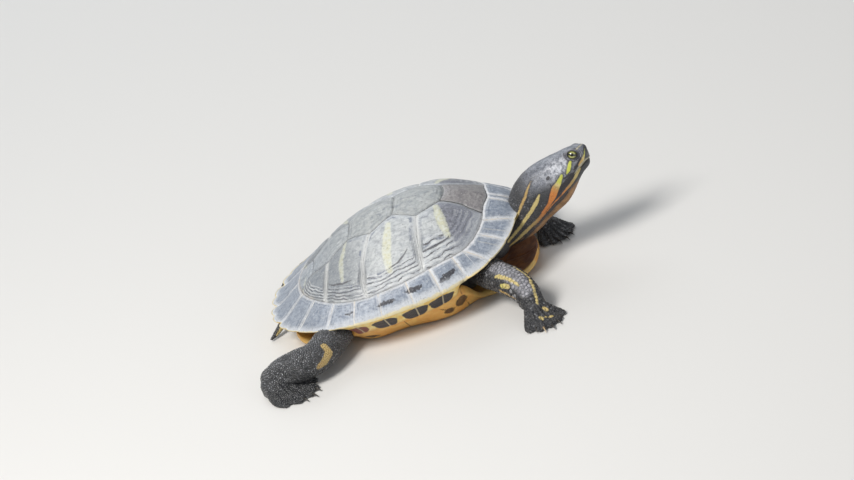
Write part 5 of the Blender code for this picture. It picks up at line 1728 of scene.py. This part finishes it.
def scatter(plan, line, points, normals, triangles):
    # evenly spaced roots over one limb's part of the skin
    centres = points[triangles].mean(axis=1)
    low, high = line.min(axis=0) - plan["reach"], line.max(axis=0) + plan["reach"]
    inside = np.all((centres > low) & (centres < high), axis=1)
    triangles, centres = triangles[inside], centres[inside]
    triangles = triangles[onLimb(plan, line, centres, normals[triangles].mean(axis=1))]
    corners = points[triangles]
    areas = np.linalg.norm(np.cross(corners[:, 1] - corners[:, 0], corners[:, 2] - corners[:, 0]),
                           axis=1) / 2
    rng = np.random.default_rng(plan["seed"])
    cell = min(plan["sizes"])
    count = int(areas.sum() / cell**2 * scalePlan["samples"])
    chosen = rng.choice(len(areas), count, p=areas / areas.sum())
    weight = rng.random((count, 2))
    weight = np.where(weight.sum(axis=1, keepdims=True) > 1, 1 - weight, weight)
    weight = np.column_stack([1 - weight.sum(axis=1), weight])
    samples = (corners[chosen] * weight[:, :, None]).sum(axis=1)
    lean = unit((normals[triangles[chosen]] * weight[:, :, None]).sum(axis=1))
    sizes = scaleSizes(plan, pathDistance(samples, line)[1], samples) * scalePlan["spacing"]
    # roots no nearer than their size
    grid, roots = {}, []
    for index, ((x, y, z), size) in enumerate(zip(samples.tolist(), sizes.tolist())):
        home = tuple(int(c // cell) for c in (x, y, z))
        reach = int(math.ceil(size / cell))
        spans = [range(c - reach, c + reach + 1) for c in home]
        near = (place for i in spans[0] for j in spans[1] for k in spans[2]
                for place in grid.get((i, j, k), ()))
        if all((a - x) ** 2 + (b - y) ** 2 + (c - z) ** 2 >= size * size for a, b, c in near):
            grid.setdefault(home, []).append((x, y, z))
            roots.append(index)
    for _ in range(scalePlan["relax"]):
        tree = treeOf(samples[roots])
        owner = np.array([tree.find(place)[1] for place in samples])
        counts = np.maximum(np.bincount(owner, minlength=len(roots)), 1)
        sums = [np.bincount(owner, samples[:, axis], len(roots)) for axis in range(3)]
        middle = np.stack(sums, 1) / counts[:, None]
        order = np.lexsort((np.linalg.norm(samples - middle[owner], axis=1), owner))
        roots = order[np.concatenate([[True], owner[order][1:] != owner[order][:-1]])]
    seeds = samples[roots]
    along = pathDistance(seeds, line)[1]
    return seeds, lean[roots], along, scaleSizes(plan, along, seeds)


def scaleExtent(roots, ahead, side, sizes, cosine, sine):
    # how far each scale reaches in each direction before it meets its neighbours
    tree = treeOf(roots)
    neighbours = np.array([[found[1] for found in tree.find_n(place, 13)][1:] for place in roots])
    offset = roots[neighbours] - roots[:, None, :]
    flatA, flatS = ((offset * way[:, None, :]).sum(axis=2) for way in (ahead, side))
    dots = flatA[:, :, None] * cosine + flatS[:, :, None] * sine
    square = (flatA**2 + flatS**2)[:, :, None]
    extent = np.where(dots > 0.01, square / (2 * np.maximum(dots, 0.01)), 9.0).min(axis=1)
    extent = np.minimum(extent, sizes[:, None] * 0.72)
    return np.minimum(extent, extent.mean(axis=1, keepdims=True) * 1.2) * scalePlan["gap"]


def makeScales(name, plan, points, normals, triangles):
    line = limbLine(plan)
    roots, lean, along, sizes = scatter(plan, line, points, normals, triangles)
    count, sides = len(roots), scalePlan["sides"]
    axis = unit(onLine(line, np.minimum(along + 0.03, 1)) - onLine(line, np.maximum(along - 0.03, 0)))
    ahead = axis - lean * (axis * lean).sum(axis=1, keepdims=True)
    ahead /= np.maximum(np.linalg.norm(ahead, axis=1), 1e-6)[:, None]
    side = np.cross(lean, ahead)
    turn = np.linspace(0, fullTurn, sides, endpoint=False) + math.pi / sides
    cosine, sine = np.cos(turn), np.sin(turn)
    extent = scaleExtent(roots, ahead, side, sizes, cosine, sine)
    rng = np.random.default_rng(plan["seed"] + 50)
    rise = plan["rise"] * rng.uniform(0.8, 1.2, count) * np.clip(extent.mean(axis=1), 0.6, 1.4)
    if plan["stations"] == "neck":  # the grains thin out into the smooth skin of the head
        start = np.clip(fade(-42, -58, toHead(roots)[:, 0]) + rng.uniform(-0.25, 0.25, count), 0.05, 1)
        rise, extent = rise * start, extent * (0.55 + 0.45 * start)[:, None]

    def ring(share, height):
        flat = extent * share
        lifted = (rise * height)[:, None] + plan["tilt"] * flat * cosine
        return (roots[:, None, :] + ahead[:, None, :] * (flat * cosine)[:, :, None]
                + side[:, None, :] * (flat * sine)[:, :, None]
                + lean[:, None, :] * lifted[:, :, None])

    bury = lean * scalePlan["bury"]
    crown, under = (roots + lean * rise[:, None])[:, None, :], (roots - bury)[:, None, :]
    corners = np.concatenate([crown, ring(0.58, 0.86), ring(1.0, 0.22), ring(0.9, 0.0) - bury[:, None, :],
                              under], axis=1)
    each = corners.shape[1]
    corners[:, :, 2] = np.maximum(corners[:, :, 2], 0.05)
    a, b, c = 1, 1 + sides, 1 + 2 * sides
    pattern = []
    for k in range(sides):
        n = (k + 1) % sides
        pattern += [(0, a + k, a + n), (a + k, b + k, b + n, a + n), (b + k, c + k, c + n, b + n),
                    (each - 1, c + n, c + k)]
    faces = [tuple(start + corner for corner in face) for start in range(0, count * each, each)
             for face in pattern]
    places = corners.reshape(-1, 3)
    scales = newPiece(name, places, faces)
    keepInside(scales)
    rim = np.repeat([0.0, 0.45, 1.0, 1.3], [1, sides, sides, sides + 1])
    setFields(scales, **skinFields(np.repeat(roots, each, axis=0) * 0.4 + places * 0.6),
              rim=np.tile(rim, count),
              shade=np.repeat(rng.random(count), each))
    # the bake map: each scale a small patch at its root's place on the unrolled limb
    outwards = roots - onLine(line, along)
    around = np.arctan2(outwards[:, 2], (outwards * np.cross(axis, (0, 0, 1.0))).sum(axis=1))
    edge = scalePlan["mapEdge"]
    home = np.stack([edge + (1 - 2 * edge) * (around / fullTurn + 0.5), edge + (1 - 2 * edge) * along], 1)
    wheel = np.stack([cosine, sine], 1)
    spread = np.concatenate([[(0.0, 0.0)], wheel * 0.55, wheel, wheel * 0.9, [(0.0, 0.0)]])
    onMap = (home[:, None, :] + spread * scalePlan["patch"]).reshape(-1, 2)
    loops = np.empty(len(scales.data.loops), np.int32)
    scales.data.loops.foreach_get("vertex_index", loops)
    layer = scales.data.uv_layers.new(name="OFBake")
    layer.data.foreach_set("uv", onMap[loops].astype(np.float32).ravel())
    print(name + ":", count, "scales")
    return scales


scaleColours = {
    **markColours, "ground": (0.014, 0.0145, 0.016), "blotch": (0.03, 0.031, 0.036),
    # glint and crown are painted highlights
    "glint": (0.36, 0.36, 0.38), "crown": (0.56, 0.58, 0.61), "outline": (0.035, 0.032, 0.037),
    # the pale scale outlines are a painted rim light
    "worn": (0.34, 0.33, 0.30), "dirt": (0.012, 0.011, 0.011),
}
scaleLooks = {
    # the last number sets how strongly the painted highlights on the scale crowns show
    "armScale": {"light": (0.46, 0.45, 0.49), "outline": 0.6, "coat": 0.06, "rough": 0.42, "specular": 0.34,
                 "crownHighlights": 0.0},
    "legScale": {"light": (0.10, 0.10, 0.11), "outline": 0.3, "coat": 0.8, "rough": 0.2, "specular": 0.5,
                 "crownHighlights": 0.8},
    "neckScale": {"light": (0.30, 0.30, 0.33), "outline": 0.34, "coat": 0.1, "rough": 0.4, "specular": 0.5,
                  "crownHighlights": 0.0},
}


def scalePaint(name, look):
    paint = Paint(name, scaleColours, look["rough"], look["specular"], look["coat"], 0.16)
    tone, rim, shade = paint.fields("tone", "rim", "shade")
    paint.colour = paint.mix(tone * (shade * 0.8 + 0.5), "ground", look["light"])
    paint.over(paint.noise(1.3, 4).step(0.4, 0.7) * 0.35, "blotch")
    paint.over(shade.step(0.7, 0.95) * paint.noise(9).step(0.42, 0.62) * (look["outline"] * 1.1), "glint")
    # painted highlights on the crowns of some scales
    crownHighlight = rim.step(0.42, 0.1) * (shade.step(0.3, 0.6) * tone.step(0.08, 0.14))
    paint.over(crownHighlight * paint.noise(12).step(0.34, 0.6) * look["crownHighlights"], "crown")
    paintMarks(paint, 0.5, 1.1)
    # painted rim light: pale outlines round the dark scales; and darker down the sides of every scale,
    # where it meets the skin
    paint.over(rim.step(0.62, 0.95) * paint.noise(3.4).step(0.42, 0.62) * look["outline"], "worn")
    paint.over(rim.step(1.02, 1.2) * 0.9, "dirt")
    fine = paint.noise(0.5, 3, 0.6)
    paint.rough = fine * 0.3 + (look["rough"] - 0.15)
    paint.raiseBy(fine * 0.10)
    return paint.finish()


scalePaints = {name: scalePaint(name, look) for name, look in scaleLooks.items()}
skinPoints, skinNormals, skinFaces = getPoints(skin), getNormals(skin), skinTriangles(skin)
for name, plan in scalePlan["limbs"].items():
    scales = makeScales(name, plan, skinPoints, skinNormals, skinFaces)
    addPiece(scales, scalePaints[plan["look"]], "neck_skin" if "neck" in name else "dark_skin")
